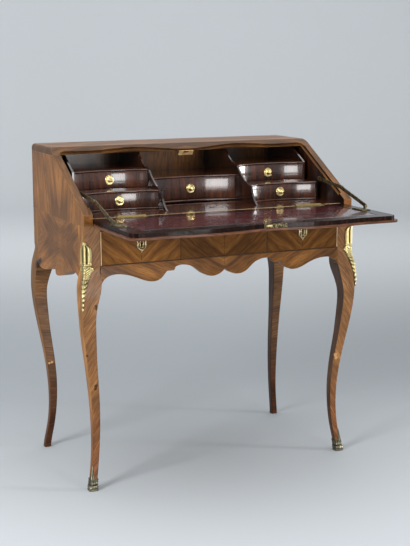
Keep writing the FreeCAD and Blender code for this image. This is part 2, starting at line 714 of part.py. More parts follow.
def corner_cover(low, high, stations):
    """A shape over the outer corner of the front right leg, before the leg is cut out of it."""
    sections = []
    for share, thick, reach in stations:
        z = low + share * (high - low)
        out = at_height(z, 1) + thick
        sections.append(square(out, reach + thick, min(LEG_ARRIS, reach / 3), z))
    return Part.makeLoft(sections, True, True)


def corner_mount():
    """A gilt mount wrapped over the outer corner of the front right leg."""
    return corner_cover(MOUNT_BOTTOM, MOUNT_TOP, MOUNT_STATIONS).cut(curved_leg())


def sabot():
    """A gilt shoe round the foot of the front right leg, with a leaf up its outer corner."""
    cap = []
    for z in (0.0, SABOT_HEIGHT / 2, SABOT_HEIGHT):
        side = at_height(z, 2) + 2 * SABOT_THICKNESS
        cap.append(square(at_height(z, 1) + SABOT_THICKNESS, side, LEG_ARRIS, z))
    leaf = corner_cover(SABOT_HEIGHT - LEAF_TUCK, SABOT_LEAF_HEIGHT, LEAF_STATIONS)
    shoe = fuse(Part.makeLoft(cap, True, True), leaf)
    return pair(shoe.cut(front_leg()))


# Frieze drawers and the well


def frieze_dividers():
    """The walls between the drawers and the well, notched under the front rail."""
    wall = block(DIVIDER_INSIDE, CENTRE_HALF, FRONT_THICKNESS, REAR_RAIL_FACE, FRIEZE_HEIGHT, POST_TOP)
    return pair(wall.cut(front_top_rail()))


def drawer_runners():
    """Strips under both ends of each drawer, the outer ones with a side guide."""
    low = FRIEZE_HEIGHT - RUNNER_THICKNESS
    inner = block(
        DIVIDER_INSIDE - RUNNER_WIDTH / 2, CENTRE_HALF + RUNNER_WIDTH, FRONT_THICKNESS, REAR_RAIL_FACE,
        low, FRIEZE_HEIGHT,
    )
    outer = block(POST_INSIDE - RUNNER_WIDTH, POST_INSIDE, FRONT_THICKNESS, REAR_RAIL_FACE, low, FRIEZE_HEIGHT)
    guide = block(POST_INSIDE, GABLE_INSIDE, POST_SIDE, POST_BACK, low, FRIEZE_HEIGHT + GUIDE_HEIGHT)
    outer = fuse(outer, guide)
    return Part.makeCompound([inner, mirrored(inner), outer, mirrored(outer)])


def well_box():
    floor = block(
        -DIVIDER_INSIDE, DIVIDER_INSIDE, FRONT_THICKNESS, WELL_END + WELL_WALL,
        FRIEZE_HEIGHT, FRIEZE_HEIGHT + WELL_FLOOR,
    )
    wall = block(-DIVIDER_INSIDE, DIVIDER_INSIDE, WELL_END, WELL_END + WELL_WALL, FRIEZE_HEIGHT, POST_TOP)
    return fuse(floor, wall)


def well_cover():
    """The sliding cover of the well, with a thumb hollow, flush with the floor round it."""
    y0 = WELL_COVER_START + COVER_GAP
    top = WRITING_HEIGHT - COVER_LIFT
    half = WELL_COVER_WIDTH / 2
    cover = block(-half, half, y0, y0 + WELL_COVER_LENGTH, POST_TOP + COVER_LIFT, top)
    ball_radius = (THUMB_RADIUS**2 + THUMB_DEPTH**2) / (2 * THUMB_DEPTH)
    thumb = Part.makeSphere(ball_radius, V(0, y0 + 2 * THUMB_RADIUS, top + ball_radius - THUMB_DEPTH))
    return cover.cut(thumb)


FRIEZE_LEFT = CENTRE_HALF + DRAWER_GAP
FRIEZE_RIGHT = POST_INSIDE - DRAWER_GAP
FRIEZE_MIDDLE = (FRIEZE_LEFT + FRIEZE_RIGHT) / 2
FRIEZE_LOW = FRIEZE_HEIGHT + DRAWER_GAP
FRIEZE_HIGH = RAIL_BOTTOM - DRAWER_GAP
KEYHOLE_HEIGHT = RAIL_BOTTOM - KEYHOLE_DROP


def keyhole(y0, y1):
    """A round hole with a slot below it, through whatever lies between two depths."""
    hole = rod(KEYHOLE_RADIUS, V(FRIEZE_MIDDLE, y0, KEYHOLE_HEIGHT), V(FRIEZE_MIDDLE, y1, KEYHOLE_HEIGHT))
    half = KEYHOLE_RADIUS * 0.6
    slot = block(FRIEZE_MIDDLE - half, FRIEZE_MIDDLE + half, y0, y1, KEYHOLE_HEIGHT - KEYHOLE_SLOT, KEYHOLE_HEIGHT)
    return fuse(hole, slot)


def frieze_lock_space(grow):
    half = DRAWER_LOCK_WIDTH / 2
    return block(
        FRIEZE_MIDDLE - half, FRIEZE_MIDDLE + half,
        FRONT_THICKNESS - DRAWER_LOCK_THICKNESS, FRONT_THICKNESS + grow,
        FRIEZE_HIGH - DRAWER_LOCK_HEIGHT - KEYHOLE_DROP / 2, FRIEZE_HIGH + grow,
    )


def frieze_front():
    front = block(FRIEZE_LEFT, FRIEZE_RIGHT, 0, FRONT_THICKNESS, FRIEZE_LOW, FRIEZE_HIGH)
    return front.cut(frieze_lock_space(1.0)).cut(keyhole(-1, FRONT_THICKNESS))


def frieze_lock():
    case = frieze_lock_space(0.0)
    return case.cut(keyhole(-1, FRONT_THICKNESS - DRAWER_LOCK_THICKNESS / 2))


def open_box(x0, x1, y0, y1, z0, z1, side, bottom):
    """Two sides, a back and a bottom; the front is a piece of its own."""
    inside = block(x0 + side, x1 - side, y0, y1 - side, z0 + bottom, z1)
    return block(x0, x1, y0, y1, z0, z1).cut(inside)


def frieze_box():
    return open_box(
        FRIEZE_LEFT, FRIEZE_RIGHT, FRONT_THICKNESS, DRAWER_DEPTH, FRIEZE_LOW, FRIEZE_HIGH - DRAWER_HEADROOM,
        DRAWER_SIDE, DRAWER_BOTTOM,
    )


def escutcheon():
    """A gilt keyhole plate: a shield with a waist, a crest above and a point below."""
    half, low = PLATE_WIDTH / 2, KEYHOLE_HEIGHT - PLATE_HEIGHT / 2
    shape = ((0.0, 0.0), (0.45, 0.14), (1.0, 0.36), (0.78, 0.58), (0.95, 0.78), (0.5, 0.92), (0.0, 1.0))
    right = [V(FRIEZE_MIDDLE + x * half, 0, low + z * PLATE_HEIGHT) for x, z in shape]
    left = [V(2 * FRIEZE_MIDDLE - p.x, 0, p.z) for p in reversed(right)]
    plate = prism([smooth(right), smooth(left)], V(0, -PLATE_THICKNESS, 0))
    return plate.cut(keyhole(-PLATE_THICKNESS - 1, 1))


# Fitted interior


def hollow_plan(x0, x1, front, back, z0, z1):
    """A board with a hollow front edge, carried from one height to another."""
    a, b = V(x0, front, z0), V(x1, front, z0)
    c, d = V(x1, back, z0), V(x0, back, z0)
    edges = [arc(a, V((x0 + x1) / 2, front + FRONT_HOLLOW, z0), b)]
    edges += [Part.makeLine(b, c), Part.makeLine(c, d), Part.makeLine(d, a)]
    return prism(edges, V(0, 0, z1 - z0))


def side_partitions():
    """Thin walls beside the drawers, stepped back with them; the stays run outside them."""
    x = PARTITION_INSIDE
    step = LOWER_SHELF_BASE + SHELF_THICKNESS
    low, high = LOWER_FRONT_PLACE - SHELF_NOSE, UPPER_FRONT_PLACE - SHELF_NOSE
    top = UPPER_SHELF_BASE + SHELF_THICKNESS
    lean = (TOP_UNDERSIDE - top) / math.tan(SLOPE)
    wall = polygon([
        V(x, low, WRITING_HEIGHT), V(x, low, step), V(x, high, step), V(x, high, top),
        V(x, high + lean, TOP_UNDERSIDE), V(x, BACK_FACE, TOP_UNDERSIDE), V(x, BACK_FACE, WRITING_HEIGHT),
    ])
    return pair(prism(wall, V(PARTITION_THICKNESS, 0, 0)))


def scallop(start, end):
    """A hollow stretch of a divider's front edge, sunk towards the back by the scallop's depth."""
    run = end - start
    sink = V(0, run.z, -run.y).normalize() * INNER_DIVIDER_SCALLOP
    return arc(start, start + run / 2 + sink, end)


def gradin_dividers():
    """The two walls of the middle compartment, their front edges scalloped down from shelf to shelf.

    The points between two scallops lie just behind the shut fall.
    """
    x = INNER_DIVIDER_INSIDE
    fall_line = HINGE_Y + INNER_DIVIDER_SETBACK / math.sin(SLOPE)
    points = [V(x, LOWER_FRONT_PLACE - INNER_DIVIDER_FOOT, WRITING_HEIGHT)]
    for z in (LOWER_SHELF_BASE + SHELF_THICKNESS / 2, UPPER_SHELF_BASE + SHELF_THICKNESS / 2, TOP_UNDERSIDE):
        points.append(V(x, fall_line + (z - WRITING_HEIGHT) / math.tan(SLOPE), z))
    edges = [scallop(a, b) for a, b in zip(points, points[1:])]
    corners = [points[-1], V(x, BACK_FACE, TOP_UNDERSIDE), V(x, BACK_FACE, WRITING_HEIGHT), points[0]]
    edges += [Part.makeLine(a, b) for a, b in zip(corners, corners[1:])]
    return pair(prism(edges, V(INNER_DIVIDER_THICKNESS, 0, 0)))


def gradin_shelves():
    """The shelf over each drawer, and the base under the lowest ones."""
    x0, x1 = INNER_DIVIDER_OUTSIDE, PARTITION_INSIDE
    solids = []
    for front, base, thick in (
        (LOWER_FRONT_PLACE, WRITING_HEIGHT, SIDE_BASE_THICKNESS),
        (LOWER_FRONT_PLACE, LOWER_SHELF_BASE, SHELF_THICKNESS),
        (UPPER_FRONT_PLACE, UPPER_SHELF_BASE, SHELF_THICKNESS),
    ):
        shelf = hollow_plan(x0, x1, front - SHELF_NOSE, BACK_FACE, base, base + thick)
        solids += [shelf, mirrored(shelf)]
    x = INNER_DIVIDER_INSIDE
    front = CENTRE_FRONT_PLACE - SHELF_NOSE
    for base, thick in ((CENTRE_SHELF_BASE, SHELF_THICKNESS), (WRITING_HEIGHT, CENTRE_BASE_THICKNESS)):
        solids.append(hollow_plan(-x, x, front, BACK_FACE, base, base + thick))
    return Part.makeCompound(solids)


def small_drawer(x0, x1, front, base, height):
    """Front, box and knob of one interior drawer."""
    x0, x1, z0 = x0 + SMALL_GAP, x1 - SMALL_GAP, base + SMALL_GAP
    joint = front + FRONT_HOLLOW + FRONT_SKIN
    middle = (x0 + x1) / 2
    face = front + FRONT_HOLLOW
    height_of_knob = z0 + height / 2
    shank = rod(KNOB_SHANK_RADIUS, V(middle, face, height_of_knob), V(middle, joint, height_of_knob))
    board = hollow_plan(x0, x1, front, joint, z0, z0 + height).cut(shank)
    box = open_box(x0, x1, joint, SMALL_BACK, z0, z0 + height - SMALL_HEADROOM, SMALL_SIDE, SMALL_BOTTOM)
    plate = rod(
        KNOB_PLATE_RADIUS, V(middle, face - KNOB_PLATE_THICKNESS, height_of_knob), V(middle, face, height_of_knob),
    )
    neck = rod(
        KNOB_NECK_RADIUS, V(middle, face - KNOB_LENGTH / 2, height_of_knob), V(middle, face, height_of_knob),
    )
    head = Part.makeSphere(KNOB_HEAD_RADIUS, V(middle, face - KNOB_LENGTH + KNOB_HEAD_RADIUS, height_of_knob))
    knob = fuse(plate, neck, head, shank).cut(hollow_plan(x0, x1, front, joint, z0, z0 + height).cut(shank))
    return board, box, knob


def build():
    """Every piece by its name."""
    pieces = {
        "right_gable": gable(),
        "left_gable": mirrored(gable()),
        "top_board": top_board(),
        "back_panel": back_panel(),
        "interior_floor": interior_floor(),
        "front_top_rail": front_top_rail(),
        "front_apron": front_apron(),
        "rear_rail": rear_rail(),
        "front_right_leg": front_leg(),
        "front_left_leg": mirrored(front_leg()),
        "back_right_leg": to_back(curved_leg()),
        "back_left_leg": mirrored(to_back(curved_leg())),
        "centre_frieze_panel": centre_frieze_panel(),
        "frieze_dividers": frieze_dividers(),
        "drawer_runners": drawer_runners(),
        "well_box": well_box(),
        "side_partitions": side_partitions(),
        "gradin_dividers": gradin_dividers(),
        "gradin_shelves": gradin_shelves(),
        "hinge_case_leaves": hinge_leaf(1, (1,)),
        "hinge_pins": hinge_pins(),
        "right_corner_mount": corner_mount(),
        "left_corner_mount": mirrored(corner_mount()),
        "front_sabots": sabot(),
        "strike_plate": strike_plate(),
        "stay_pivots": stay_pivots(),
        "lid_panel": lid_panel(),
        "writing_leather": writing_leather(),
        "hinge_lid_leaves": hinge_leaf(-1, (0, 2)),
        "lid_lock": lid_lock(),
        "lid_lock_bolt": bolt_box(0.0),
        "stay_feet": stay_feet(),
        "right_stay_front_link": stay_front_link(),
        "left_stay_front_link": mirrored(stay_front_link()),
        "right_stay_rear_link": stay_rear_link(),
        "left_stay_rear_link": mirrored(stay_rear_link()),
        "well_cover": well_cover(),
    }
    for part, shape in (
        ("front", frieze_front()), ("box", frieze_box()), ("lock", frieze_lock()), ("escutcheon", escutcheon()),
    ):
        pieces["right_frieze_drawer_" + part] = shape
        pieces["left_frieze_drawer_" + part] = mirrored(shape)
    x0, x1 = INNER_DIVIDER_OUTSIDE, PARTITION_INSIDE
    upper_base = LOWER_SHELF_BASE + SHELF_THICKNESS
    for tier, front, base, height in (
        ("lower", LOWER_FRONT_PLACE, WRITING_HEIGHT + SIDE_BASE_THICKNESS, LOWER_DRAWER_HEIGHT),
        ("upper", UPPER_FRONT_PLACE, upper_base, UPPER_DRAWER_HEIGHT),
    ):
        for part, shape in zip(("front", "box", "knob"), small_drawer(x0, x1, front, base, height)):
            pieces[f"right_{tier}_drawer_{part}"] = shape
            pieces[f"left_{tier}_drawer_{part}"] = mirrored(shape)
    x = INNER_DIVIDER_INSIDE
    base = WRITING_HEIGHT + CENTRE_BASE_THICKNESS
    middle = small_drawer(-x, x, CENTRE_FRONT_PLACE, base, CENTRE_DRAWER_HEIGHT)
    for part, shape in zip(("front", "box", "knob"), middle):
        pieces["centre_drawer_" + part] = shape
    return pieces


def main():
    os.makedirs("parts", exist_ok=True)
    pieces = build()
    whole = Part.makeCompound(list(pieces.values())).BoundBox
    shift = V(0, -(whole.YMin + whole.YMax) / 2, 0)
    for name, shape in pieces.items():
        shape.translate(shift)
        shape.exportStep(f"parts/{name}.step")
    foot, pivot, elbow = stay_points()
    for name, point in (("hinge", HINGE), ("stay foot", foot), ("stay pivot", pivot), ("stay elbow", elbow)):
        place = point + shift
        print(f"{name}: y {place.y:.4f}  z {place.z:.4f}")
    print(f"closing turn {CLOSING_TURN:.4f} degrees, shift along Y {shift.y:.4f}")


main()
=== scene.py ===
"""Looks of a slant-front writing desk: matched veneers, dark polished interior, leather and gilt mounts.

Places are in metres in the desk's own frame: x to the sitter's right, y to the back, z up, with
the fall open. Sizes written in millimetres carry MM.
"""
import math

import bpy
import numpy as np
from bpy.props import FloatProperty, FloatVectorProperty, PointerProperty
from mathutils import Matrix, Vector


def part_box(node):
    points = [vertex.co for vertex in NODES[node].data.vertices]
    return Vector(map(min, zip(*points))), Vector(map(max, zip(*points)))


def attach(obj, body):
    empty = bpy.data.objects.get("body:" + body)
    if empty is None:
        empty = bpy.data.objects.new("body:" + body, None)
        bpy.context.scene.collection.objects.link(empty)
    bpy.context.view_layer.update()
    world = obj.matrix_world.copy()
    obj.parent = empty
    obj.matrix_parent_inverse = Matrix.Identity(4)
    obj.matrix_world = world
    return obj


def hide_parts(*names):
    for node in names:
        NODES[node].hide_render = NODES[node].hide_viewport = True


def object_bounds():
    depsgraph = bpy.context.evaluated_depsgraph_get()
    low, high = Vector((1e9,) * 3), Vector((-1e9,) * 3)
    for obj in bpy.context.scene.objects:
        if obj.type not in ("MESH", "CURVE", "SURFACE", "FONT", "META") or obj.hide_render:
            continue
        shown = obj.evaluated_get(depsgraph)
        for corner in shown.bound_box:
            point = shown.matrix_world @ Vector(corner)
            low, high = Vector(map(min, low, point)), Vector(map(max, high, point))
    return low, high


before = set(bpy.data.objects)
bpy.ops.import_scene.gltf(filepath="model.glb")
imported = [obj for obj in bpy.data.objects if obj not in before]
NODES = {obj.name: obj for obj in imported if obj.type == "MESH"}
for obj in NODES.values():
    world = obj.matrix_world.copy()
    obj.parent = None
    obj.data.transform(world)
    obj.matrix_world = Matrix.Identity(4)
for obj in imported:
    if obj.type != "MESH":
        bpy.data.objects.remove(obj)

bl_info = {
    "name": "Slant-front desk finish",
    "version": (1, 0, 0),
    "blender": (4, 5, 0),
    "location": "View3D > Sidebar > Desk",
    "description": "Dresses a packed slant-front desk with its veneers, leather, brass and gilt mounts",
    "category": "Object",
}

MM = 0.001
CAD_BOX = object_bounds()
WRITING_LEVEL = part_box("writing_leather")[1].z
FRIEZE_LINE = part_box("centre_frieze_panel")[0].z
LIP_THICKNESS = 6.2 * MM
SIDES = {"left": -1, "right": 1}
SMALL_DRAWERS = tuple(
    name.removesuffix("_front") for name in NODES
    if name.endswith("_drawer_front") and "frieze" not in name
)
# A match centre this far away, or for the height this far down, leaves an axis unfolded
FAR = 10.0
UNDER = -1.0

# Viewpoint of the photograph: place in metres, turn to the right and tilt down in degrees
CAMERA_PLACE = (-1.3866, -2.8954, 1.1584)
CAMERA_YAW = 25.2512
CAMERA_PITCH = 10.7214
CAMERA_SENSOR = 36.0
CAMERA_LENS = 77.6

# Soft boxes of the studio: place and aim in metres, width and height in metres, power in watts
LAMPS = {
    "top_box": ((0.0, -0.3, 3.3), (0.0, 0.0, 0.0), 4.4, 4.4, 100),
    "left_box": ((-3.3, -1.4, 1.9), (0.0, 0.0, 0.55), 1.1, 1.1, 90),
    "front_strip": ((0.7, -4.0, 0.8), (0.0, 0.0, 0.75), 0.9, 1.3, 44),
    "right_strip": ((3.35, -1.9, 0.95), (0.0, 0.0, 0.75), 0.45, 1.3, 60),
    "left_sliver": ((-0.75, -4.0, 0.8), (0.0, 0.0, 0.75), 0.2, 1.3, 1.2),
    "wall_box": ((0.9, 1.9, 3.4), (2.2, 5.2, 0.4), 4.5, 0.8, 80),
    "high_wall_box": ((1.0, 3.6, 3.8), (2.4, 7.0, 2.6), 4.5, 0.8, 46),
}
WORLD_STRENGTH = 0.32


def linear(text):
    """An sRGB hex colour as linear red, green, blue and alpha."""
    share = np.array([int(text[n:n + 2], 16) for n in (1, 3, 5)]) / 255
    curve_part = np.where(share <= 0.04045, share / 12.92, ((share + 0.055) / 1.055) ** 2.4)
    return (*curve_part.tolist(), 1.0)


def tint(name, description, text):
    """A colour that a user may change."""
    return FloatVectorProperty(
        name=name, description=description, subtype="COLOR", size=4, min=0, max=1, default=linear(text)
    )


def length(name, description, value):
    """A length that a user may change, given in millimetres."""
    return FloatProperty(
        name=name, description=description, subtype="DISTANCE", unit="LENGTH", default=value * MM
    )


class DeskColours(bpy.types.PropertyGroup):
    """Colours of the desk's finishes."""

    veneer_light: tint("Veneer, light", "Pale bands of the tulipwood", "#a67033")
    veneer_mid: tint("Veneer, middle", "Main tone of the tulipwood", "#845424")
    veneer_deep: tint("Veneer, deep", "Brown bands of the tulipwood", "#633c1a")
    veneer_dark: tint("Veneer, streaks", "Dark streaks of the tulipwood", "#36200f")
    # Also the painted highlight along the arrises
    veneer_worn: tint("Veneer, worn", "Rubbed edges and chips of the veneer", "#c79a63")
    interior_light: tint("Interior, light", "Red bands of the dark interior wood", "#603118")
    interior_mid: tint("Interior, middle", "Main tone of the dark interior wood", "#462414")
    interior_dark: tint("Interior, streaks", "Near-black streaks of the interior wood", "#1a0d09")
    leather: tint("Leather", "Writing leather", "#54191e")
    leather_dark: tint("Leather, worn", "Darkened patches of the leather", "#341016")
    oak_light: tint("Oak, light", "Pale bands of drawer linings", "#a27c4f")
    oak_dark: tint("Oak, dark", "Dark bands of drawer linings", "#684a2c")
    bare_wood: tint("Bare wood", "Stained faces of the legs that have no veneer", "#553d2d")
    leg_light: tint("Leg veneer, light", "Pale bands of the faded leg veneer", "#a4754a")
    leg_mid: tint("Leg veneer, middle", "Main tone of the faded leg veneer", "#8c5f37")
    leg_deep: tint("Leg veneer, deep", "Brown bands of the faded leg veneer", "#6f4929")
    foot_front: tint("Front feet", "Stain over the lower part of the front legs", "#e0cdc4")
    foot_back: tint("Back feet", "Stain over the lower part of the back legs", "#b59c93")
    shoe: tint("Shoes", "Worn gilding of the shoes", "#857f6a")
    shoe_recess: tint("Shoes, recess", "Patina in the hollows of the shoes", "#2f2b22")
    # At the ends of the frieze drawers this pale colour is a painted highlight
    lipping: tint("Lipping", "Pale strip at the ends of the frieze drawers", "#d9b585")
    gilt: tint("Gilt bronze", "Bright parts of the gilt mounts", "#d6c48c")
    gilt_recess: tint("Gilt bronze, recess", "Patina in the hollows of the mounts", "#463819")
    brass: tint("Brass", "Knobs, hinges and lock plate", "#e3cd92")
    brass_worn: tint("Brass, worn", "Tarnished brass", "#8c7442")
    iron: tint("Iron", "Folding stays", "#8b7f60")
    iron_dark: tint("Iron, dark", "Dark patches of the stays", "#332d20")
    # Worn gilding, also painted shade on the keyhole plates, which lie under the fall
    gilt_dull: tint("Dull gilt", "Worn gilding of the keyhole plates", "#9c906c")
    gilt_dull_recess: tint("Dull gilt, recess", "Patina in the hollows of the keyhole plates", "#3a3222")
    lip: tint("Fall lip", "Rubbed lip round the fall", "#684636")
    backdrop: tint("Backdrop", "Paper floor of the stage", "#c9ced2")
    # Painted light and shade on the stage: a paler wall and darker paper behind the desk
    backdrop_wall: tint("Backdrop, wall", "Paper wall of the stage", "#d6dadd")
    backdrop_shade: tint("Backdrop, shade", "Darker paper behind the desk", "#9da2a6")


class DeskSizes(bpy.types.PropertyGroup):
    """Sizes of the pieces that dress the desk."""

    knob_reach: length("Knob reach", "How far a knob stands out of its drawer", 17.0)
    knob_radius: length("Knob plate radius", "Radius of the plate behind each knob", 13.0)
    front_hollow: length("Drawer hollow", "Depth of the hollow in each small drawer's front", 17.0)
    shelf_thickness: length("Shelf thickness", "Thickness of the shelves over the small drawers", 4.5)
    shelf_nose: length("Shelf nose", "How far a shelf stands out over its drawer", 2.0)
    mount_relief: length("Mount relief", "Depth of the leaf work on the corner mounts", 3.2)
    screw_radius: length("Screw radius", "Radius of the screw heads", 2.8)


# Materials

# Settings of a map range that starts and ends gently
SMOOTH = {"interpolation_type": "SMOOTHSTEP"}


def node(tree, kind, inputs=(), stops=(), **settings):
    """Adds a shader node with its settings, inputs and colour stops, and returns its outputs.

    Inputs stand in order or by name. Another node's output is linked, None leaves an input as it
    is, and anything else is set as its value.
    """
    made = tree.nodes.new("ShaderNode" + kind)
    for key, value in settings.items():
        setattr(made, key, value)
    for key, item in inputs.items() if isinstance(inputs, dict) else enumerate(inputs):
        if isinstance(item, bpy.types.NodeSocket):
            tree.links.new(item, made.inputs[key])
        elif item is not None:
            made.inputs[key].default_value = item
    for place, colour in stops:
        found = [e for e in made.color_ramp.elements if abs(e.position - place) < 1e-4]
        stop = found[0] if found else made.color_ramp.elements.new(place)
        stop.color = colour
    return made.outputs


def new_material(name):
    """An empty node material and its tree."""
    material = bpy.data.materials.new(name)
    material.use_nodes = True
    material.node_tree.nodes.clear()
    return material, material.node_tree


def folded_place(tree, centre):
    """Place relative to a match centre, mirrored about it by its absolute value, in metres.

    A centre far outside the piece on one axis leaves that axis unfolded.
    """
    place = node(tree, "TexCoord")["Object"]
    moved = node(tree, "VectorMath", (place, centre), operation="SUBTRACT")[0]
    return node(tree, "VectorMath", (moved,), operation="ABSOLUTE")[0]


def grain_place(tree, folded, along, normal):
    """Millimetres along, across and into a veneer, from its folded place."""
    along = Vector(along).normalized()
    normal = Vector(normal).normalized()
    turn = Matrix((along, normal.cross(along), normal)).transposed().to_euler()
    return node(
        tree, "Mapping", {"Vector": folded, "Rotation": turn, "Scale": (MM, MM, MM)}, vector_type="TEXTURE"
    )[0]


def plain_grain(tree, along, normal):
    """Grain place of an unmatched piece."""
    return grain_place(tree, folded_place(tree, (FAR, FAR, -FAR)), along, normal)


def mottle(tree, place, sizes, detail):
    """Soft blots that measure the given sizes, in the units of the place."""
    scale = tuple(1 / size for size in sizes)
    scaled = node(tree, "VectorMath", (place, scale), operation="MULTIPLY")[0]
    return node(
        tree, "TexNoise",
        {"Vector": scaled, "Scale": 1.0, "Detail": detail, "Roughness": 0.55, "Distortion": 0.2},
    )


# Figure of a wood in millimetres along, across and into its grain: sway, pores, fibres and clouds
SWAY_SIZE = (110, 60, 110)
PORE_SIZE = (16, 1.7, 16)
FIBRE_SIZE = (48, 2.6, 48)
CLOUD_SIZE = (120, 60, 120)
# How many times as long as wide the bands and the streaks are
BAND_STRETCH = 12
STREAK_STRETCH = 30


def wood(tree, grain, tones, band, streak, contrast, sway=14.0):
    """Colour and fibres of a striped wood from its grain place.

    Broad bands, narrow dark streaks, short pores and fine fibres are noises stretched along the
    grain, which sways a little; band and streak are their widths across it in millimetres. Slow
    clouds make whole areas darker or paler. Real pores and fibres are a few tenths of a millimetre
    wide; they are drawn up to ten times as wide so that they show. The tones are those of the
    streaks, then of the bands from deep to light.
    """
    dark, deep, mid, light = tones
    drift = mottle(tree, grain, SWAY_SIZE, 2.0)[1]
    grain = node(tree, "VectorMath", (drift, (0, sway * 2, 0), grain), operation="MULTIPLY_ADD")[0]
    bands = mottle(tree, grain, (band * BAND_STRETCH, band, band * BAND_STRETCH), 3.0)[0]
    streaks = mottle(tree, grain, (streak * STREAK_STRETCH, streak, streak * STREAK_STRETCH), 5.0)[0]
    pores = mottle(tree, grain, PORE_SIZE, 1.0)[0]
    fibres = mottle(tree, grain, FIBRE_SIZE, 3.0)[0]
    clouds = mottle(tree, grain, CLOUD_SIZE, 3.0)[0]
    tone = node(
        tree, "ValToRGB", {"Fac": bands},
        stops=((0.0, deep), (0.26, deep), (0.5, mid), (0.74, light), (1.0, light)),
    )[0]
    amount = node(tree, "MapRange", (streaks, 0.5, 0.72, 0.0, contrast), **SMOOTH)[0]
    tone = node(tree, "MixRGB", (amount, tone, dark))[0]
    amount = node(tree, "MapRange", (pores, 0.56, 0.74, 0.0, 0.5), **SMOOTH)[0]
    tone = node(tree, "MixRGB", (amount, tone, dark))[0]
    factor = node(tree, "MapRange", (fibres, 0.3, 0.7, 0.62, 1.38), **SMOOTH)[0]
    tone = node(tree, "MixRGB", (0.85, tone, factor), blend_type="MULTIPLY")[0]
    factor = node(tree, "MapRange", (clouds, 0.3, 0.7, 0.55, 1.3), **SMOOTH)[0]
    return node(tree, "MixRGB", (0.75, tone, factor), blend_type="MULTIPLY")[0], fibres


# Size of the patches of wear and painted highlight along an edge
WEAR_PATCH = 12 * MM


def edge_wear_and_highlight(tree, tone, worn, radius, share):
    """Lightens the arrises: wear where hands and cloths have rubbed through the polish, and a painted
    highlight where edges catch the light.

    The rounded normal leaves the true one only near an edge; a noise breaks the wear up.
    """
    rounded = node(tree, "Bevel", {"Radius": radius}, samples=4)[0]
    true = node(tree, "NewGeometry")["True Normal"]
    turned = node(tree, "VectorMath", (rounded, true), operation="DOT_PRODUCT")["Value"]
    edge = node(tree, "MapRange", (turned, 0.995, 0.86), **SMOOTH)[0]
    place = node(tree, "TexCoord")["Object"]
    patches = mottle(tree, place, (WEAR_PATCH,) * 3, 3.0)[0]
    patches = node(tree, "MapRange", (patches, 0.35, 0.65, 0.2, share), **SMOOTH)[0]
    # Wear and painted highlight along the arrises
    rubbed = node(tree, "Math", (edge, patches), operation="MULTIPLY")[0]
    return node(tree, "MixRGB", (rubbed, tone, worn))[0], rounded


# Shellac polish
SHELLAC_IOR = 1.5
COAT_ROUGHNESS = 0.05
BUMP_STRENGTH = 0.6


def polish(tree, tone, height, roughness, coat, depth, normal=None, level=0.5):
    """A polished surface: colour, fine bump in metres, and a clear coat of shellac over it."""
    bump = node(
        tree, "Bump", {"Strength": BUMP_STRENGTH, "Distance": depth, "Height": height, "Normal": normal}
    )[0]
    shader = node(tree, "BsdfPrincipled", {
        "Base Color": tone, "Normal": bump, "Roughness": roughness,
        "IOR": SHELLAC_IOR, "Specular IOR Level": level,
        "Coat Weight": coat, "Coat Roughness": COAT_ROUGHNESS, "Coat IOR": SHELLAC_IOR,
    })[0]
    node(tree, "OutputMaterial", {"Surface": shader})


def facing(tree, direction, low=0.4, high=0.6):
    """One where the surface faces a direction in the piece's own frame, and nought elsewhere."""
    normal = node(tree, "TexCoord")["Normal"]
    share = node(tree, "VectorMath", (normal, direction), operation="DOT_PRODUCT")["Value"]
    return node(tree, "MapRange", (share, low, high), **SMOOTH)[0]


def above(tree, axis, level):
    """One where the place lies above a level on one axis, and nought below it."""
    place = node(tree, "SeparateXYZ", (node(tree, "TexCoord")["Object"],))[axis]
    return node(tree, "Math", (place, level), operation="GREATER_THAN")[0]


# Half widths at which a seam and a dark joint line with painted shade begin to fade and are gone
SEAM = (0.2 * MM, 0.9 * MM)
JOINT_SHADE = (0.8 * MM, 2.6 * MM)
# Size of the ragged edge of chips and stains
RAGGED = 5 * MM


def joint_lines(tree, tone, dark, folded):
    """Draws the seam of mirrored veneers, where a folded place comes to nought.

    Such seams are hairlines; they are drawn nearly a millimetre wide so that they show.
    """
    parts = node(tree, "SeparateXYZ", (folded,))
    nearest = node(tree, "Math", (parts[0], parts[1]), operation="MINIMUM")[0]
    nearest = node(tree, "Math", (nearest, parts[2]), operation="MINIMUM")[0]
    amount = node(tree, "MapRange", (nearest, *SEAM, 0.7, 0.0), **SMOOTH)[0]
    return node(tree, "MixRGB", (amount, tone, dark))[0]


def marks(tree, tone, colour, places):
    """Chips and stains: blots of a colour about places in millimetres, each with its radius."""
    place = node(tree, "TexCoord")["Object"]
    ragged = mottle(tree, place, (RAGGED,) * 3, 3.0)[0]
    for x, y, z, radius in places:
        spot = (x * MM, y * MM, z * MM)
        away = node(tree, "VectorMath", (place, spot), operation="DISTANCE")["Value"]
        away = node(tree, "Math", (ragged, radius * MM, away), operation="MULTIPLY_ADD")[0]
        amount = node(tree, "MapRange", (away, 1.6 * radius * MM, 1.1 * radius * MM, 0.0, 0.9), **SMOOTH)[0]
        tone = node(tree, "MixRGB", (amount, tone, colour))[0]
    return tone


# Tulipwood veneer, sawn, glued and waxed: striped, warm, with a soft gloss.
VENEER_BAND = 17.0
VENEER_STREAK = 4.6
VENEER_ROUGHNESS = 0.36
VENEER_LEVEL = 0.2
FIBRE_DEPTH = 0.00012
ARRIS = 1.6 * MM

# Dark interior wood, polished like glass: near black with red stripes that stand upright.
INTERIOR_BAND = 13.0
INTERIOR_STREAK = 4.5
INTERIOR_ROUGHNESS = 0.2
INTERIOR_COAT = 0.8
INTERIOR_LEVEL = 0.3

# Oak linings, planed and left bare.
OAK_BAND = 7.0
OAK_STREAK = 1.8
OAK_CONTRAST = 0.25
OAK_SWAY = 6.0
OAK_ROUGHNESS = 0.6
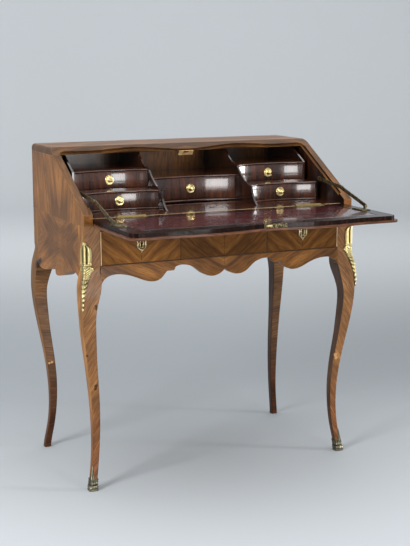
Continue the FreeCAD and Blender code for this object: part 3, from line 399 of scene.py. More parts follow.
# Back: width of a board, and in millimetres that of the bands in the stain inside
BACK_BOARD = 148 * MM
STAIN_BAND = 60.0


def veneer_tones(colours):
    """Tulipwood: streaks, then bands from deep to light."""
    return colours.veneer_dark, colours.veneer_deep, colours.veneer_mid, colours.veneer_light


def interior_tones(colours):
    """Interior wood: streaks, then bands from deep to light."""
    return colours.interior_dark, colours.interior_dark, colours.interior_mid, colours.interior_light


def near_black_and_shaded_tones(colours):
    """Interior wood drawn near black: the dark wood of the fall's border and edges, and painted shade on the
    partitions and the inner faces of the gables.
    """
    return (*(colours.interior_dark,) * 3, colours.interior_mid)


def oak_tones(colours):
    """Oak: streaks, then bands from deep to light."""
    return colours.oak_dark, colours.oak_dark, colours.oak_light, colours.oak_light


def veneer_finish(tree, colours, tone, fibres, level=VENEER_LEVEL):
    """Waxed veneer with arrises lightened by wear and by a painted highlight."""
    tone, rounded = edge_wear_and_highlight(tree, tone, colours.veneer_worn, ARRIS, 0.4)
    polish(tree, tone, fibres, VENEER_ROUGHNESS, level / 3, FIBRE_DEPTH, rounded, level)


def shaded_joint_line(tree, tone, dark, axis, level):
    """A dark line along a joint at a level on one axis, painted shade of the gap between the parts, drawn 4
    mm wide so that it shows.
    """
    place = node(tree, "SeparateXYZ", (node(tree, "TexCoord")["Object"],))[axis]
    away = node(tree, "Math", (place, level), operation="SUBTRACT")[0]
    away = node(tree, "Math", (away,), operation="ABSOLUTE")[0]
    amount = node(tree, "MapRange", (away, *JOINT_SHADE, 0.85, 0.0), **SMOOTH)[0]
    return node(tree, "MixRGB", (amount, tone, dark))[0]


# Front: how far the grain sways in millimetres
FRONT_SWAY = 15.0
# Frieze: slant of its grain, the painted shade that darkens each panel, and its gloss
FRIEZE_GRAIN = (1, 0, 0.9)
FRIEZE_SHADES = {"left": 0.66, "middle": 0.5, "right": 0.46}
FRIEZE_LEVEL = 0.06


def tulipwood(name, colours, along, centre, contrast, shade, level, joint=None):
    """Veneer of the front, mirrored about a match centre and darkened by a fixed share of painted shade.

    Painted shade darkens the gap along the joint between the frieze and the apron, and where given along an
    upright joint.
    """
    material, tree = new_material(name)
    folded = folded_place(tree, centre)
    grain = grain_place(tree, folded, along, (0, -1, 0))
    tone, fibres = wood(tree, grain, veneer_tones(colours), VENEER_BAND, VENEER_STREAK, contrast, FRONT_SWAY)
    tone = joint_lines(tree, tone, colours.veneer_dark, folded)
    # Painted shade: the whole panel is darkened by a fixed share
    tone = node(tree, "MixRGB", (1.0, tone, (*(shade,) * 3, 1)), blend_type="MULTIPLY")[0]
    # Painted shade in the gaps at the joints
    tone = shaded_joint_line(tree, tone, colours.interior_dark, 2, FRIEZE_LINE)
    if joint is not None:
        tone = shaded_joint_line(tree, tone, colours.interior_dark, 0, joint)
    veneer_finish(tree, colours, tone, fibres, level)
    return material


# Direction of the slope that the fall closes on and the way it faces, and dark blots on the left gable near
# the back leg
SLOPE = (0.0, 0.837, 0.547)
SLOPE_FACE = (0.0, -0.547, 0.837)
GABLE_MARKS = ((-406.0, 286.0, 568.0, 13.0), (-406.0, 297.0, 562.0, 13.0))
# Joint of a gable below the writing level, and its match centre from the middle and the frieze's lower edge
GABLE_JOINT = 20 * MM
GABLE_CENTRE = (-20 * MM, 42 * MM)
# How much darker the sloping edge of a gable is drawn
SLOPE_SHADE = 0.6


def gable_veneer(name, colours, sign):
    """Butterfly match below, upright grain above a joint, and dark polished wood inside, drawn near black as
    painted shade.

    On the sloping edge, which the fall closes on, the grain runs along the slope.
    """
    material, tree = new_material(name)
    low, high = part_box("left_gable")
    centre = (FAR * sign, (low.y + high.y) / 2 + GABLE_CENTRE[0], FRIEZE_LINE + GABLE_CENTRE[1])
    folded = folded_place(tree, centre)
    wings = grain_place(tree, folded, (0, 1, 0.55), (1, 0, 0))
    upright = grain_place(tree, folded, (0, 0.22, 1), (1, 0, 0))
    slope = plain_grain(tree, SLOPE, SLOPE_FACE)
    on_slope = facing(tree, SLOPE_FACE, 0.8, 0.9)
    grain = node(tree, "MixRGB", (above(tree, 2, WRITING_LEVEL - GABLE_JOINT), wings, upright))[0]
    grain = node(tree, "MixRGB", (on_slope, grain, slope))[0]
    tone, fibres = wood(tree, grain, veneer_tones(colours), VENEER_BAND, VENEER_STREAK, 0.25)
    tone = joint_lines(tree, tone, colours.veneer_deep, folded)
    shaded = node(tree, "MixRGB", (1.0, tone, (*(SLOPE_SHADE,) * 3, 1)), blend_type="MULTIPLY")[0]
    tone = node(tree, "MixRGB", (on_slope, tone, shaded))[0]
    within = plain_grain(tree, (0, 0, 1), (1, 0, 0))
    # Painted shade: the inner face is drawn near black, as if in shadow
    inside, _ = wood(tree, within, near_black_and_shaded_tones(colours), INTERIOR_BAND, INTERIOR_STREAK, 0.9)
    tone = node(tree, "MixRGB", (facing(tree, (-sign, 0, 0)), tone, inside))[0]
    tone = marks(tree, tone, colours.interior_dark, GABLE_MARKS)
    veneer_finish(tree, colours, tone, fibres)
    return material


# How much painted shade darkens the waved edge of the top and every face of it that does not face up
TOP_EDGE_SHADE = 0.4


def top_veneer(colours):
    """Veneer on top and on the waved edge, darkened there with painted shade, and dark polished wood below.
    """
    material, tree = new_material("top_veneer")
    folded = folded_place(tree, (0, FAR, FAR))
    grain = grain_place(tree, folded, (1, 0.25, 0), (0, 0, 1))
    tone, fibres = wood(tree, grain, veneer_tones(colours), VENEER_BAND, VENEER_STREAK, 0.4)
    below = plain_grain(tree, (1, 0, 0), (0, 0, 1))
    shade, _ = wood(tree, below, interior_tones(colours), INTERIOR_BAND, INTERIOR_STREAK, 0.9)
    # Painted shade on every face of the top that does not face up
    edge = node(tree, "MixRGB", (1.0, tone, (*(TOP_EDGE_SHADE,) * 3, 1)), blend_type="MULTIPLY")[0]
    tone = node(tree, "MixRGB", (facing(tree, (0, 0, 1), 0.9, 0.97), edge, tone))[0]
    tone = node(tree, "MixRGB", (facing(tree, (0, 0, -1)), tone, shade))[0]
    veneer_finish(tree, colours, tone, fibres)
    return material


# Damage that shows in the photograph, and a dark spot where the back-left leg meets the gable: place in
# millimetres and radius
DARK_MARKS = (
    (-369.8, -65.8, 289.0, 6.0), (-370.5, -65.8, 280.0, 5.0), (-374.7, -90.5, 509.0, 5.0),
    (-373.5, -90.5, 502.0, 5.0), (-397.8, -79.1, 376.4, 4.0), (-408.0, 310.0, 555.0, 15.0),
)
PALE_MARKS = (
    (369.0, -66.0, 283.0, 6.0), (366.0, -66.0, 292.0, 6.0),
    (-377.3, 310.8, 259.9, 4.0), (-369.3, 310.8, 261.9, 4.0),
)
# Band and streak in millimetres on the outer and inner sides of a leg
LEG_OUTSIDE = (12.0, 3.0)
LEG_INSIDE = (9.0, 2.0)
# Heights in metres between which the leg turns to the darker post, with its shade, and to the stained foot
POST_HEIGHTS = (0.48, 0.62)
POST_SHADE = 0.78
FOOT_HEIGHTS = (0.34, 0.08)


def leg_veneer(name, colours, along, band, contrast, shade, side_shade, foot):
    """Leg veneer: slanted on the front, upright on the outer side, bare stained wood inside.

    The post above the knee is drawn darker than the leg, and the foot is stained.
    """
    material, tree = new_material(name)
    folded = folded_place(tree, (0, FAR, UNDER))
    front = grain_place(tree, folded, along, (0, -1, 0))
    side = grain_place(tree, folded, (0, 0.08, 1), (1, 0, 0))
    tones = (colours.veneer_dark, colours.leg_deep, colours.leg_mid, colours.leg_light)
    tone, fibres = wood(tree, front, tones, band, VENEER_STREAK, contrast)
    place = node(tree, "TexCoord")
    height = node(tree, "SeparateXYZ", (place["Object"],))[2]
    # Painted light and shade: shade lightens or darkens the whole leg, and the post above the knee is drawn
    # darker still
    factor = node(tree, "MapRange", (height, *POST_HEIGHTS, shade, shade * POST_SHADE), **SMOOTH)[0]
    tone = node(tree, "MixRGB", (1.0, tone, factor), blend_type="MULTIPLY")[0]
    pale = (colours.veneer_deep, colours.veneer_mid, colours.veneer_light, colours.veneer_light)
    outer, _ = wood(tree, side, pale, *LEG_OUTSIDE, 0.3)
    # Painted light and shade: side_shade lightens or darkens the outer side
    outer = node(tree, "MixRGB", (1.0, outer, (*(side_shade,) * 3, 1)), blend_type="MULTIPLY")[0]
    bare = (colours.interior_mid, *(colours.bare_wood,) * 3)
    plain, _ = wood(tree, side, bare, *LEG_INSIDE, 0.4)
    apart = node(tree, "SeparateXYZ", (place["Object"],))[0]
    across = node(tree, "SeparateXYZ", (place["Normal"],))[0]
    sign = node(tree, "Math", (apart,), operation="SIGN")[0]
    outward = node(tree, "Math", (sign, across), operation="MULTIPLY")[0]
    amount = node(tree, "MapRange", (outward, 0.5, 0.8), **SMOOTH)[0]
    tone = node(tree, "MixRGB", (amount, tone, outer))[0]
    amount = node(tree, "MapRange", (outward, -0.5, -0.8), **SMOOTH)[0]
    tone = node(tree, "MixRGB", (amount, tone, plain))[0]
    stained = node(tree, "MixRGB", (1.0, tone, foot), blend_type="MULTIPLY")[0]
    amount = node(tree, "MapRange", (height, *FOOT_HEIGHTS), **SMOOTH)[0]
    tone = node(tree, "MixRGB", (amount, tone, stained))[0]
    tone = marks(tree, tone, colours.veneer_dark, DARK_MARKS)
    tone = marks(tree, tone, colours.veneer_worn, PALE_MARKS)
    veneer_finish(tree, colours, tone, fibres)
    return material


def dark_wood(name, tones, along, normal):
    """Dark polished wood of the fitted interior."""
    material, tree = new_material(name)
    grain = plain_grain(tree, along, normal)
    tone, fibres = wood(tree, grain, tones, INTERIOR_BAND, INTERIOR_STREAK, 0.4)
    rounded = node(tree, "Bevel", {"Radius": ARRIS}, samples=4)[0]
    polish(tree, tone, fibres, INTERIOR_ROUGHNESS, INTERIOR_COAT, FIBRE_DEPTH / 12, rounded, INTERIOR_LEVEL)
    return material


def bare_oak(name, colours, along, normal):
    """Plain planed oak of linings and runners."""
    material, tree = new_material(name)
    grain = plain_grain(tree, along, normal)
    tone, fibres = wood(tree, grain, oak_tones(colours), OAK_BAND, OAK_STREAK, OAK_CONTRAST, OAK_SWAY)
    polish(tree, tone, fibres, OAK_ROUGHNESS, 0.0, FIBRE_DEPTH, level=INTERIOR_LEVEL)
    return material


def back_boards(colours):
    """Upright oak boards, butted and left bare outside, stained and polished inside.

    Dark joints stand at every board's width from the middle, and each board has its own tone. The
    inside is stained, drawn a little lighter in the middle bay and darkened with painted shade in the two
    outer bays.
    """
    material, tree = new_material("back_boards")
    grain = plain_grain(tree, (0, 0, 1), (0, 1, 0))
    tone, fibres = wood(tree, grain, oak_tones(colours), OAK_BAND * 2, OAK_STREAK, OAK_CONTRAST, OAK_SWAY)
    tone = node(tree, "MixRGB", (0.5, tone, colours.oak_dark))[0]
    across = node(tree, "SeparateXYZ", (node(tree, "TexCoord")["Object"],))[0]
    boards = node(tree, "Math", (across, 1 / BACK_BOARD, 0.5), operation="MULTIPLY_ADD")[0]
    share = node(tree, "Math", (boards,), operation="FRACT")[0]
    count = node(tree, "Math", (boards,), operation="FLOOR")[0]
    own = node(tree, "TexWhiteNoise", {"W": count}, noise_dimensions="1D")[0]
    factor = node(tree, "MapRange", (own, 0.0, 1.0, 0.7, 1.1), **SMOOTH)[0]
    tone = node(tree, "MixRGB", (1.0, tone, factor), blend_type="MULTIPLY")[0]
    edge = node(tree, "Math", (share, 1.0), operation="PINGPONG")[0]
    edge = node(tree, "Math", (edge, 0.5), operation="PINGPONG")[0]
    amount = node(tree, "MapRange", (edge, 1.2 * MM / BACK_BOARD, 0.4 * MM / BACK_BOARD), **SMOOTH)[0]
    tone = node(tree, "MixRGB", (amount, tone, colours.interior_dark))[0]
    reds = (colours.interior_light, colours.lip, colours.veneer_mid, colours.veneer_mid)
    within = plain_grain(tree, (0, 0, 1), (0, -1, 0))
    shade, _ = wood(tree, within, reds, STAIN_BAND, INTERIOR_STREAK, 0.2)
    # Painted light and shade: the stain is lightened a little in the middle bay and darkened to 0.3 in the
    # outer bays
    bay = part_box("centre_drawer_front")[1].x
    apart = node(tree, "Math", (across,), operation="ABSOLUTE")[0]
    factor = node(tree, "MapRange", (apart, bay, bay + 8 * MM, 1.1, 0.3), **SMOOTH)[0]
    shade = node(tree, "MixRGB", (1.0, shade, factor), blend_type="MULTIPLY")[0]
    inside = facing(tree, (0, -1, 0))
    tone = node(tree, "MixRGB", (inside, tone, shade))[0]
    roughness = node(tree, "MapRange", (inside, 0.0, 1.0, OAK_ROUGHNESS, INTERIOR_ROUGHNESS), **SMOOTH)[0]
    polish(tree, tone, fibres, roughness, 0.0, FIBRE_DEPTH / 2, level=INTERIOR_LEVEL)
    return material


# Fall: band and streak in millimetres of its edges and lip, and its polish, with less coat on the edges
FALL_EDGE = (5.0, 2.2)
FALL_LIP = (9.0, 3.0)
FALL_COAT = (0.06, 0.28)
FALL_ROUGHNESS = 0.22
FALL_LEVEL = 0.08


def fall_wood(colours):
    """The fall: dark border inside, near-black edges, a paler lip and veneer outside."""
    material, tree = new_material("fall_wood")
    low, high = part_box("lid_panel")
    folded = folded_place(tree, (0, (low.y + high.y) / 2, FAR))
    outside = grain_place(tree, folded, (1, 0.6, 0), (0, 0, -1))
    veneer, fibres = wood(tree, outside, veneer_tones(colours), VENEER_BAND, VENEER_STREAK, 0.85)
    veneer = joint_lines(tree, veneer, colours.veneer_dark, folded)
    dark = near_black_and_shaded_tones(colours)
    flat = plain_grain(tree, (1, 0, 0), (0, 0, 1))
    border, _ = wood(tree, flat, dark, INTERIOR_BAND, INTERIOR_STREAK, 0.9)
    edge, _ = wood(tree, plain_grain(tree, (0, 0, 1), (0, -1, 0)), dark, *FALL_EDGE, 0.9)
    rubbed = (colours.veneer_deep, *(colours.lip,) * 3)
    lip, _ = wood(tree, plain_grain(tree, (1, 0, 0), (0, -1, 0)), rubbed, *FALL_LIP, 0.5)
    upward = facing(tree, (0, 0, 1))
    tone = node(tree, "MixRGB", (upward, edge, border))[0]
    tone = node(tree, "MixRGB", (above(tree, 2, low.z + LIP_THICKNESS), lip, tone))[0]
    tone = node(tree, "MixRGB", (facing(tree, (0, 0, -1)), tone, veneer))[0]
    rounded = node(tree, "Bevel", {"Radius": ARRIS}, samples=4)[0]
    coat = node(tree, "MapRange", (upward, 0.0, 1.0, *FALL_COAT), **SMOOTH)[0]
    polish(tree, tone, fibres, FALL_ROUGHNESS, coat, FIBRE_DEPTH / 8, rounded, FALL_LEVEL)
    return material


# Lipping: band and streak in millimetres, and its dull wax
LIPPING_LINES = (5.0, 1.5)
LIPPING_ROUGHNESS = 0.45


def pale_lipping(colours):
    """Boxwood strip, scraped and waxed: pale and even, with fine lines."""
    material, tree = new_material("pale_lipping")
    tones = (colours.veneer_worn, *(colours.lipping,) * 3)
    tone, fibres = wood(tree, plain_grain(tree, (0, 0, 1), (0, -1, 0)), tones, *LIPPING_LINES, 0.3)
    polish(tree, tone, fibres, LIPPING_ROUGHNESS, 0.0, FIBRE_DEPTH)
    return material


# Leather: distance between pores, size of rubbed patches, depth of the pores, and gloss
PORE_SPACING = 1.6 * MM
RUBBED_SIZE = (70 * MM, 40 * MM, 70 * MM)
PORE_DEPTH = 0.00002
LEATHER_COAT = 0.75


def writing_leather(colours):
    """Skiver of dyed goatskin, waxed and rubbed: pores too fine to show are drawn 1.6 mm apart."""
    material, tree = new_material("writing_leather")
    place = node(tree, "TexCoord")["Object"]
    pores = node(tree, "TexVoronoi", {"Vector": place, "Scale": 1 / PORE_SPACING})[0]
    wear = mottle(tree, place, RUBBED_SIZE, 4.0)[0]
    amount = node(tree, "MapRange", (wear, 0.4, 0.7), **SMOOTH)[0]
    tone = node(tree, "MixRGB", (amount, colours.leather, colours.leather_dark))[0]
    roughness = node(tree, "MapRange", (wear, 0.35, 0.7, 0.2, 0.3), **SMOOTH)[0]
    polish(tree, tone, pores, roughness, LEATHER_COAT, PORE_DEPTH)
    return material


# Metals: strength and depth of scratches and of chasing, and size of the stains on gilding
METAL_BUMP = 0.25
SCRATCH_DEPTH = 0.0002
CHASING_DEPTH = 0.0003
GILT_STAIN = 6 * MM


def metal_surface(tree, tone, roughness, height, depth):
    """A bare metal: colour, roughness and a fine bump in metres."""
    bump = node(tree, "Bump", {"Height": height, "Strength": METAL_BUMP, "Distance": depth})[0]
    shader = node(
        tree, "BsdfPrincipled",
        {"Base Color": tone, "Roughness": roughness, "Normal": bump, "Metallic": 1.0},
    )[0]
    node(tree, "OutputMaterial", {"Surface": shader})


def metal(name, bright, dull, grit, roughness, patch, dulling=0.42):
    """A metal with worn patches: grit is the size of its scratches, patch that of its stains."""
    material, tree = new_material(name)
    place = node(tree, "TexCoord")["Object"]
    stains = mottle(tree, place, (patch,) * 3, 4.0)[0]
    scratches = mottle(tree, place, (grit,) * 3, 3.0)[0]
    amount = node(tree, "MapRange", (stains, dulling, dulling + 0.26), **SMOOTH)[0]
    tone = node(tree, "MixRGB", (amount, bright, dull))[0]
    rough = node(tree, "MapRange", (stains, 0.2, 0.8, roughness * 0.7, roughness * 1.5), **SMOOTH)[0]
    metal_surface(tree, tone, rough, scratches, SCRATCH_DEPTH)
    return material


def gilt_bronze(name, bright, recess):
    """Cast bronze, chased and gilt: bright on the high parts, brown patina in the hollows.

    The mesh attribute relief is one on the high parts and nought in the hollows.
    """
    material, tree = new_material(name)
    relief = node(tree, "Attribute", attribute_name="relief")["Fac"]
    place = node(tree, "TexCoord")["Object"]
    stains = mottle(tree, place, (GILT_STAIN,) * 3, 5.0)[0]
    share = node(tree, "Math", (stains, 0.35, relief), operation="MULTIPLY_ADD")[0]
    share = node(tree, "MapRange", (share, 0.4, 0.92), **SMOOTH)[0]
    tone = node(tree, "MixRGB", (share, recess, bright))[0]
    rough = node(tree, "MapRange", (share, 0.0, 1.0, 0.55, 0.3), **SMOOTH)[0]
    metal_surface(tree, tone, rough, stains, CHASING_DEPTH)
    return material


def assign(material, *names):
    """Gives CAD nodes a material."""
    for name in names:
        slots = NODES[name].data.materials
        slots.clear()
        slots.append(material)


# Meshes


def shell(points):
    """Closed skin over rings of points, an array (rings, round, 3).

    Quads join neighbouring rings, and a fan of triangles closes each end at the ring's middle. The
    sign of the enclosed volume tells which way round the faces point outwards.
    """
    rings, round_ = points.shape[:2]
    index = np.arange(rings * round_).reshape(rings, round_)
    after = np.roll(index, -1, axis=1)
    quads = np.stack([index[:-1], after[:-1], after[1:], index[1:]], axis=-1).reshape(-1, 4)
    low = np.full(round_, rings * round_)
    fans = np.concatenate([
        np.stack([after[0], index[0], low], axis=-1),
        np.stack([index[-1], after[-1], low + 1], axis=-1),
    ])
    vertices = np.concatenate([points.reshape(-1, 3), points[[0, -1]].mean(axis=1)])
    triangles = np.concatenate([quads[:, [0, 1, 2]], quads[:, [0, 2, 3]], fans])
    a, b, c = (vertices[triangles[:, n]] for n in range(3))
    if np.einsum("ij,ij->", a, np.cross(b, c)) < 0:
        quads, fans = quads[:, ::-1], fans[:, ::-1]
    return vertices, quads, fans


def piece(name, shells, material, body, replaced=(), relief=None):
    """One object from closed skins, riding on a body, in place of CAD nodes where named."""
    vertices, faces, start = [], [], 0
    for points, quads, fans in shells:
        vertices.append(points)
        faces += (quads + start).tolist() + (fans + start).tolist()
        start += len(points)
    mesh = bpy.data.meshes.new(name)
    mesh.from_pydata(np.concatenate(vertices).tolist(), [], faces)
    mesh.shade_smooth()
    mesh.set_sharp_from_angle(angle=math.radians(50))
    if relief is not None:
        mesh.attributes.new("relief", "FLOAT", "POINT").data.foreach_set("value", relief.astype(np.float32))
    mesh.materials.append(material)
    made = bpy.data.objects.new(name, mesh)
    bpy.context.scene.collection.objects.link(made)
    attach(made, body)
    if replaced:
        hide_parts(*replaced)
    return made


def curve(points, count):
    """A smooth line through given points.

    Each span is a cubic whose slope at a point is half the step between that point's neighbours.
    """
    points = np.asarray(points, float)
    padded = np.concatenate([2 * points[:1] - points[1:2], points, 2 * points[-1:] - points[-2:-1]])
    place = np.linspace(0, len(points) - 1 - 1e-9, count)
    span = place.astype(int)
    t = (place - span)[:, None]
    a, b, c, d = (padded[span + n] for n in range(4))
    return 0.5 * (2 * b + (c - a) * t + (2 * a - 5 * b + 4 * c - d) * t**2 + (3 * b - a - 3 * c + d) * t**3)


# Direction towards the sitter
OUT = np.array([0.0, -1.0, 0.0])
# Points round a scroll and round a strip, and how flat a scroll lies
SCROLL_SIDES = 12
STRIP_SIDES = 24
SCROLL_FLAT = 0.8


def lathe(profile, centre, sides):
    """A turned form: each (radius, reach) of the profile carried round an axis towards the sitter."""
    turn = np.linspace(0, 2 * math.pi, sides, endpoint=False)
    spokes = np.stack([-np.cos(turn), np.zeros(sides), -np.sin(turn)], axis=-1)
    profile = np.array(profile, float) * MM
    return np.array(centre) + profile[:, 0, None, None] * spokes + profile[:, 1, None, None] * OUT


def scroll(path, radius):
    """A round bar of changing radius along a path in an upright plane that faces the sitter.

    Each ring is a circle across the path's direction, flattened towards the plane.
    """
    run = np.gradient(path, axis=0)
    run /= np.linalg.norm(run, axis=1, keepdims=True)
    side = np.cross(run, OUT)
    turn = np.linspace(0, 2 * math.pi, SCROLL_SIDES, endpoint=False)[None, :, None]
    ring = np.cos(turn) * side[:, None] + SCROLL_FLAT * np.sin(turn) * OUT
    return path[:, None] + np.asarray(radius)[:, None, None] * ring


def strip(low, high, arris):
    """A straight strip between two corners with rounded arrises.

    Its rings are rectangles whose corners are quarter circles, drawn in by the arris at both ends.
    """
    low, high = np.array(low), np.array(high)
    middle, half = (low + high) / 2, (high - low) / 2
    turn = np.linspace(0, 2 * math.pi, STRIP_SIDES, endpoint=False) + math.pi / STRIP_SIDES
    corner = np.stack([np.cos(turn), np.sin(turn)], axis=-1)
    core = np.sign(corner) * (half[:2] - arris)
    rings = []
    for height, share in ((-half[2], 0.3), (-half[2] + arris, 1.0), (half[2] - arris, 1.0), (half[2], 0.3)):
        plan = core + corner * arris * share
        rings.append(np.concatenate([plan, np.full((STRIP_SIDES, 1), height)], axis=1) + middle)
    return np.array(rings)


# Hinges: length of a leaf, places of its screws from the outer end, and their share of its width
HINGE_LENGTH = 81 * MM
HINGE_SCREWS = (10 * MM, 40 * MM, 70 * MM)
HINGE_SCREW_LINE = 0.62
# Feet of the stays: screws from the ends and from the outer side, and height of the foot's top
FOOT_INSET = 7 * MM
FOOT_MIDDLE = 12 * MM
FOOT_THICKNESS = 2 * MM


def slotted_screw(centre, radius, slot_turn):
    """A countersunk screw head: a low dome with a slot across it.

    A square grid u, v is drawn to a disc by x = u sqrt(1 - v^2 / 2), y = v sqrt(1 - u^2 / 2); the
    dome falls off with the square of the distance, and the slot is where v is near nought.
    """
    u = np.linspace(-1, 1, 9)[:, None]
    v = np.array([-1, -0.7, -0.4, -0.2, -0.16, 0.16, 0.2, 0.4, 0.7, 1.0])[None]
    x = u * np.sqrt(1 - v**2 / 2)
    y = v * np.sqrt(1 - u**2 / 2)
    top = 0.3 * (1 - x**2 - y**2) - 0.32 * (np.abs(v) < 0.18) + 0.12
    base = np.full_like(x, -0.35)
    local = np.stack([
        np.concatenate([x, x[:, ::-1]], axis=1),
        np.concatenate([y, y[:, ::-1]], axis=1),
        np.concatenate([top, base], axis=1),
    ], axis=-1) * radius
    turn = Matrix.Rotation(slot_turn, 3, "Z")
    return np.array(centre) + local @ np.array(turn).T


def cuts(name, axis, places):
    """Where a node's edges cross planes across one axis: an array of points for each place."""
    mesh = NODES[name].data
    points = np.empty(len(mesh.vertices) * 3)
    mesh.vertices.foreach_get("co", points)
    points = points.reshape(-1, 3)
    ends = np.empty(len(mesh.edges) * 2, int)
    mesh.edges.foreach_get("vertices", ends)
    a, b = points[ends[0::2]], points[ends[1::2]]
    found = []
    for place in places:
        crossed = ((a[:, axis] - place) * (b[:, axis] - place) <= 0) & (a[:, axis] != b[:, axis])
        share = (place - a[crossed, axis]) / (b[crossed, axis] - a[crossed, axis])
        found.append(a[crossed] + share[:, None] * (b[crossed] - a[crossed]))
    return found


def leg_outline(side, heights):
    """Outer and inner x, front and back y of a front leg at given heights, from cuts through it."""
    sections = cuts(f"front_{side}_leg", 2, heights)
    return np.array([
        (np.abs(p[:, 0]).max(), np.abs(p[:, 0]).min(), p[:, 1].min(), p[:, 1].max()) for p in sections
    ])


def smooth_step(share):
    """A rise from nought to one with level ends: 3 s^2 - 2 s^3."""
    share = np.clip(share, 0, 1)
    return share * share * (3 - 2 * share)


def hump(place, middle, width):
    """A bell curve: one at the middle, falling off over the width."""
    return np.exp(-((place - middle) / width) ** 2)


# Corner mount: share of its height from the bottom, and half width in millimetres
MOUNT_OUTLINE = np.array([
    (0.00, 1.2), (0.03, 3.4), (0.06, 1.7), (0.095, 4.2), (0.13, 2.0), (0.165, 5.0), (0.205, 2.6),
    (0.23, 6.0), (0.30, 8.5), (0.38, 10.5), (0.45, 12.0),
    (0.47, 15.0), (0.50, 14.0), (0.525, 19.0), (0.545, 16.5), (0.575, 24.0), (0.60, 25.0), (0.625, 22.0),
    (0.64, 19.0), (0.69, 19.0), (0.80, 20.5), (0.87, 20.0), (0.905, 17.5), (0.93, 13.0), (0.945, 7.5),
    (0.955, 6.0), (0.975, 7.5), (0.99, 5.0), (1.00, 1.5),
])
# Share of its height at which each form ends
BERRIES, HUSKS, CALYX, COLLAR, CARTOUCHE = 0.21, 0.46, 0.645, 0.675, 0.945
# Thickness of the casting, depth of its edge in the wood, and half breadth in millimetres of its fold
MOUNT_CASTING = 0.9 * MM
MOUNT_TUCK = 0.6 * MM
MOUNT_FOLD = 4.0
# Points up and across a mount
MOUNT_GRID = (210, 65)


def mount_relief(t, a):
    """Height of the mount's relief, nought to about one, over its height t and its breadth a.

    From the bottom: a tail of berries, four overlapping husks, an acanthus calyx whose side leaves
    end in scrolls, a beaded collar, a fluted cartouche with a raised rim, and a bud. Berries, beads
    and ridges are sines, husks a saw tooth on a slant, veins, flutes and rims bell curves across the
    breadth, and a scroll is a wide bell less a narrow one.
    """
    b = np.abs(a)
    crown = np.sqrt(np.clip(1 - a**2, 0, 1))
    berries = crown * np.abs(np.sin(math.pi * t / (BERRIES / 3))) ** 0.5
    husk = (t - BERRIES) / (HUSKS - BERRIES)
    overlap = 1 - (husk * 4 - 0.55 * b) % 1
    husks = (0.25 + 0.7 * overlap) * (1 - 0.5 * a**2)
    husks = husks + 0.3 * hump(a, 0, 0.12) - 0.3 * hump(b, 0.45, 0.12) * overlap
    leaf = (t - HUSKS) / (CALYX - HUSKS)
    ridges = np.abs(np.sin(math.pi * (5.0 * leaf - 2.2 * b)))
    from_scroll = ((b - 0.78) / 0.17) ** 2 + ((leaf - 0.72) / 0.2) ** 2
    calyx = 0.3 + 0.5 * ridges * (0.4 + 0.6 * crown) + 0.5 * hump(a, 0, 0.09)
    calyx = calyx + 0.9 * np.exp(-from_scroll) - 0.9 * np.exp(-from_scroll * 9)
    ring = (t - CALYX) / (COLLAR - CALYX)
    collar = 0.2 + 0.75 * np.sqrt(np.clip(1 - (2 * ring - 1) ** 2, 0, 1))
    collar = collar * (0.85 + 0.15 * np.cos(14 * math.pi * a))
    up = (t - COLLAR) / (CARTOUCHE - COLLAR)
    flutes = 0.3 + 0.5 * hump(a, 0, 0.13) - 0.28 * hump(b, 0.27, 0.08) + 0.35 * hump(b, 0.58, 0.2)
    cartouche = np.maximum(flutes, 0.95 * hump(b, 0.88, 0.08)) + 0.2 * hump(up, 0.0, 0.04)
    bud = crown * (0.75 + 0.25 * np.cos(6 * math.pi * a))
    zones = [t < BERRIES, t < HUSKS, t < CALYX, t < COLLAR, t < CARTOUCHE]
    forms = (berries, husks, calyx, collar, cartouche)
    grid = (t.shape[0], a.shape[1])
    zones = [np.broadcast_to(z, grid) for z in zones]
    return np.select(zones, [np.broadcast_to(f, grid) for f in forms], bud)


def corner_mount_rings(side, relief_depth):
    """A gilt mount folded over the outer corner of a leg, as rings of points from bottom to top.

    Each ring runs over the side face, round the corner and over the front face, raised by the
    relief, and returns just inside the wood. The direction of the rise turns from the side to the
    front by a smooth step over the corner. The mount stays within the desk's own width.
    """
    low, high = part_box(f"{side}_corner_mount")
    heights = np.linspace(low.z + 0.5 * MM, high.z - 0.5 * MM, MOUNT_GRID[0])
    outline = leg_outline(side, heights)
    corner_x, corner_y = outline[:, :1], outline[:, 2:3]
    t = ((heights - low.z) / (high.z - low.z))[:, None]
    a = np.linspace(-1, 1, MOUNT_GRID[1])[None]
    reach = np.interp(t, MOUNT_OUTLINE[:, 0], MOUNT_OUTLINE[:, 1])
    height = mount_relief(t, a)
    thick = MOUNT_CASTING + relief_depth * height
    thick = thick * smooth_step((1.02 - np.abs(a)) / 0.12)
    fold = 0.5 * math.pi * smooth_step((a * reach / MOUNT_FOLD + 1) / 2)
    over_front = np.clip(a, 0, 1) * reach * MM
    over_side = np.clip(-a, 0, 1) * reach * MM
    x = np.minimum(corner_x - over_front + np.cos(fold) * thick, CAD_BOX[1].x - 0.1 * MM)
    y = corner_y + over_side - np.sin(fold) * thick
    outline_x = np.concatenate([x, (corner_x - over_front - MOUNT_TUCK)[:, ::-1]], axis=1) * SIDES[side]
    outline_y = np.concatenate([y, (corner_y + over_side + MOUNT_TUCK)[:, ::-1]], axis=1)
    rings = np.stack([outline_x, outline_y, np.broadcast_to(heights[:, None], outline_x.shape)], axis=-1)
    shown = np.concatenate([height, np.zeros_like(height)], axis=1)
    return rings, np.concatenate([shown.ravel(), [0.5, 0.5]])


# Shoe: height in millimetres and thickness of the casting there
SHOE_PROFILE = np.array([
    (0, 2.4), (2, 3.2), (4, 2.0), (9, 3.0), (15, 2.6), (24, 1.7), (31, 2.3), (36, 1.6), (70, 0.8),
])
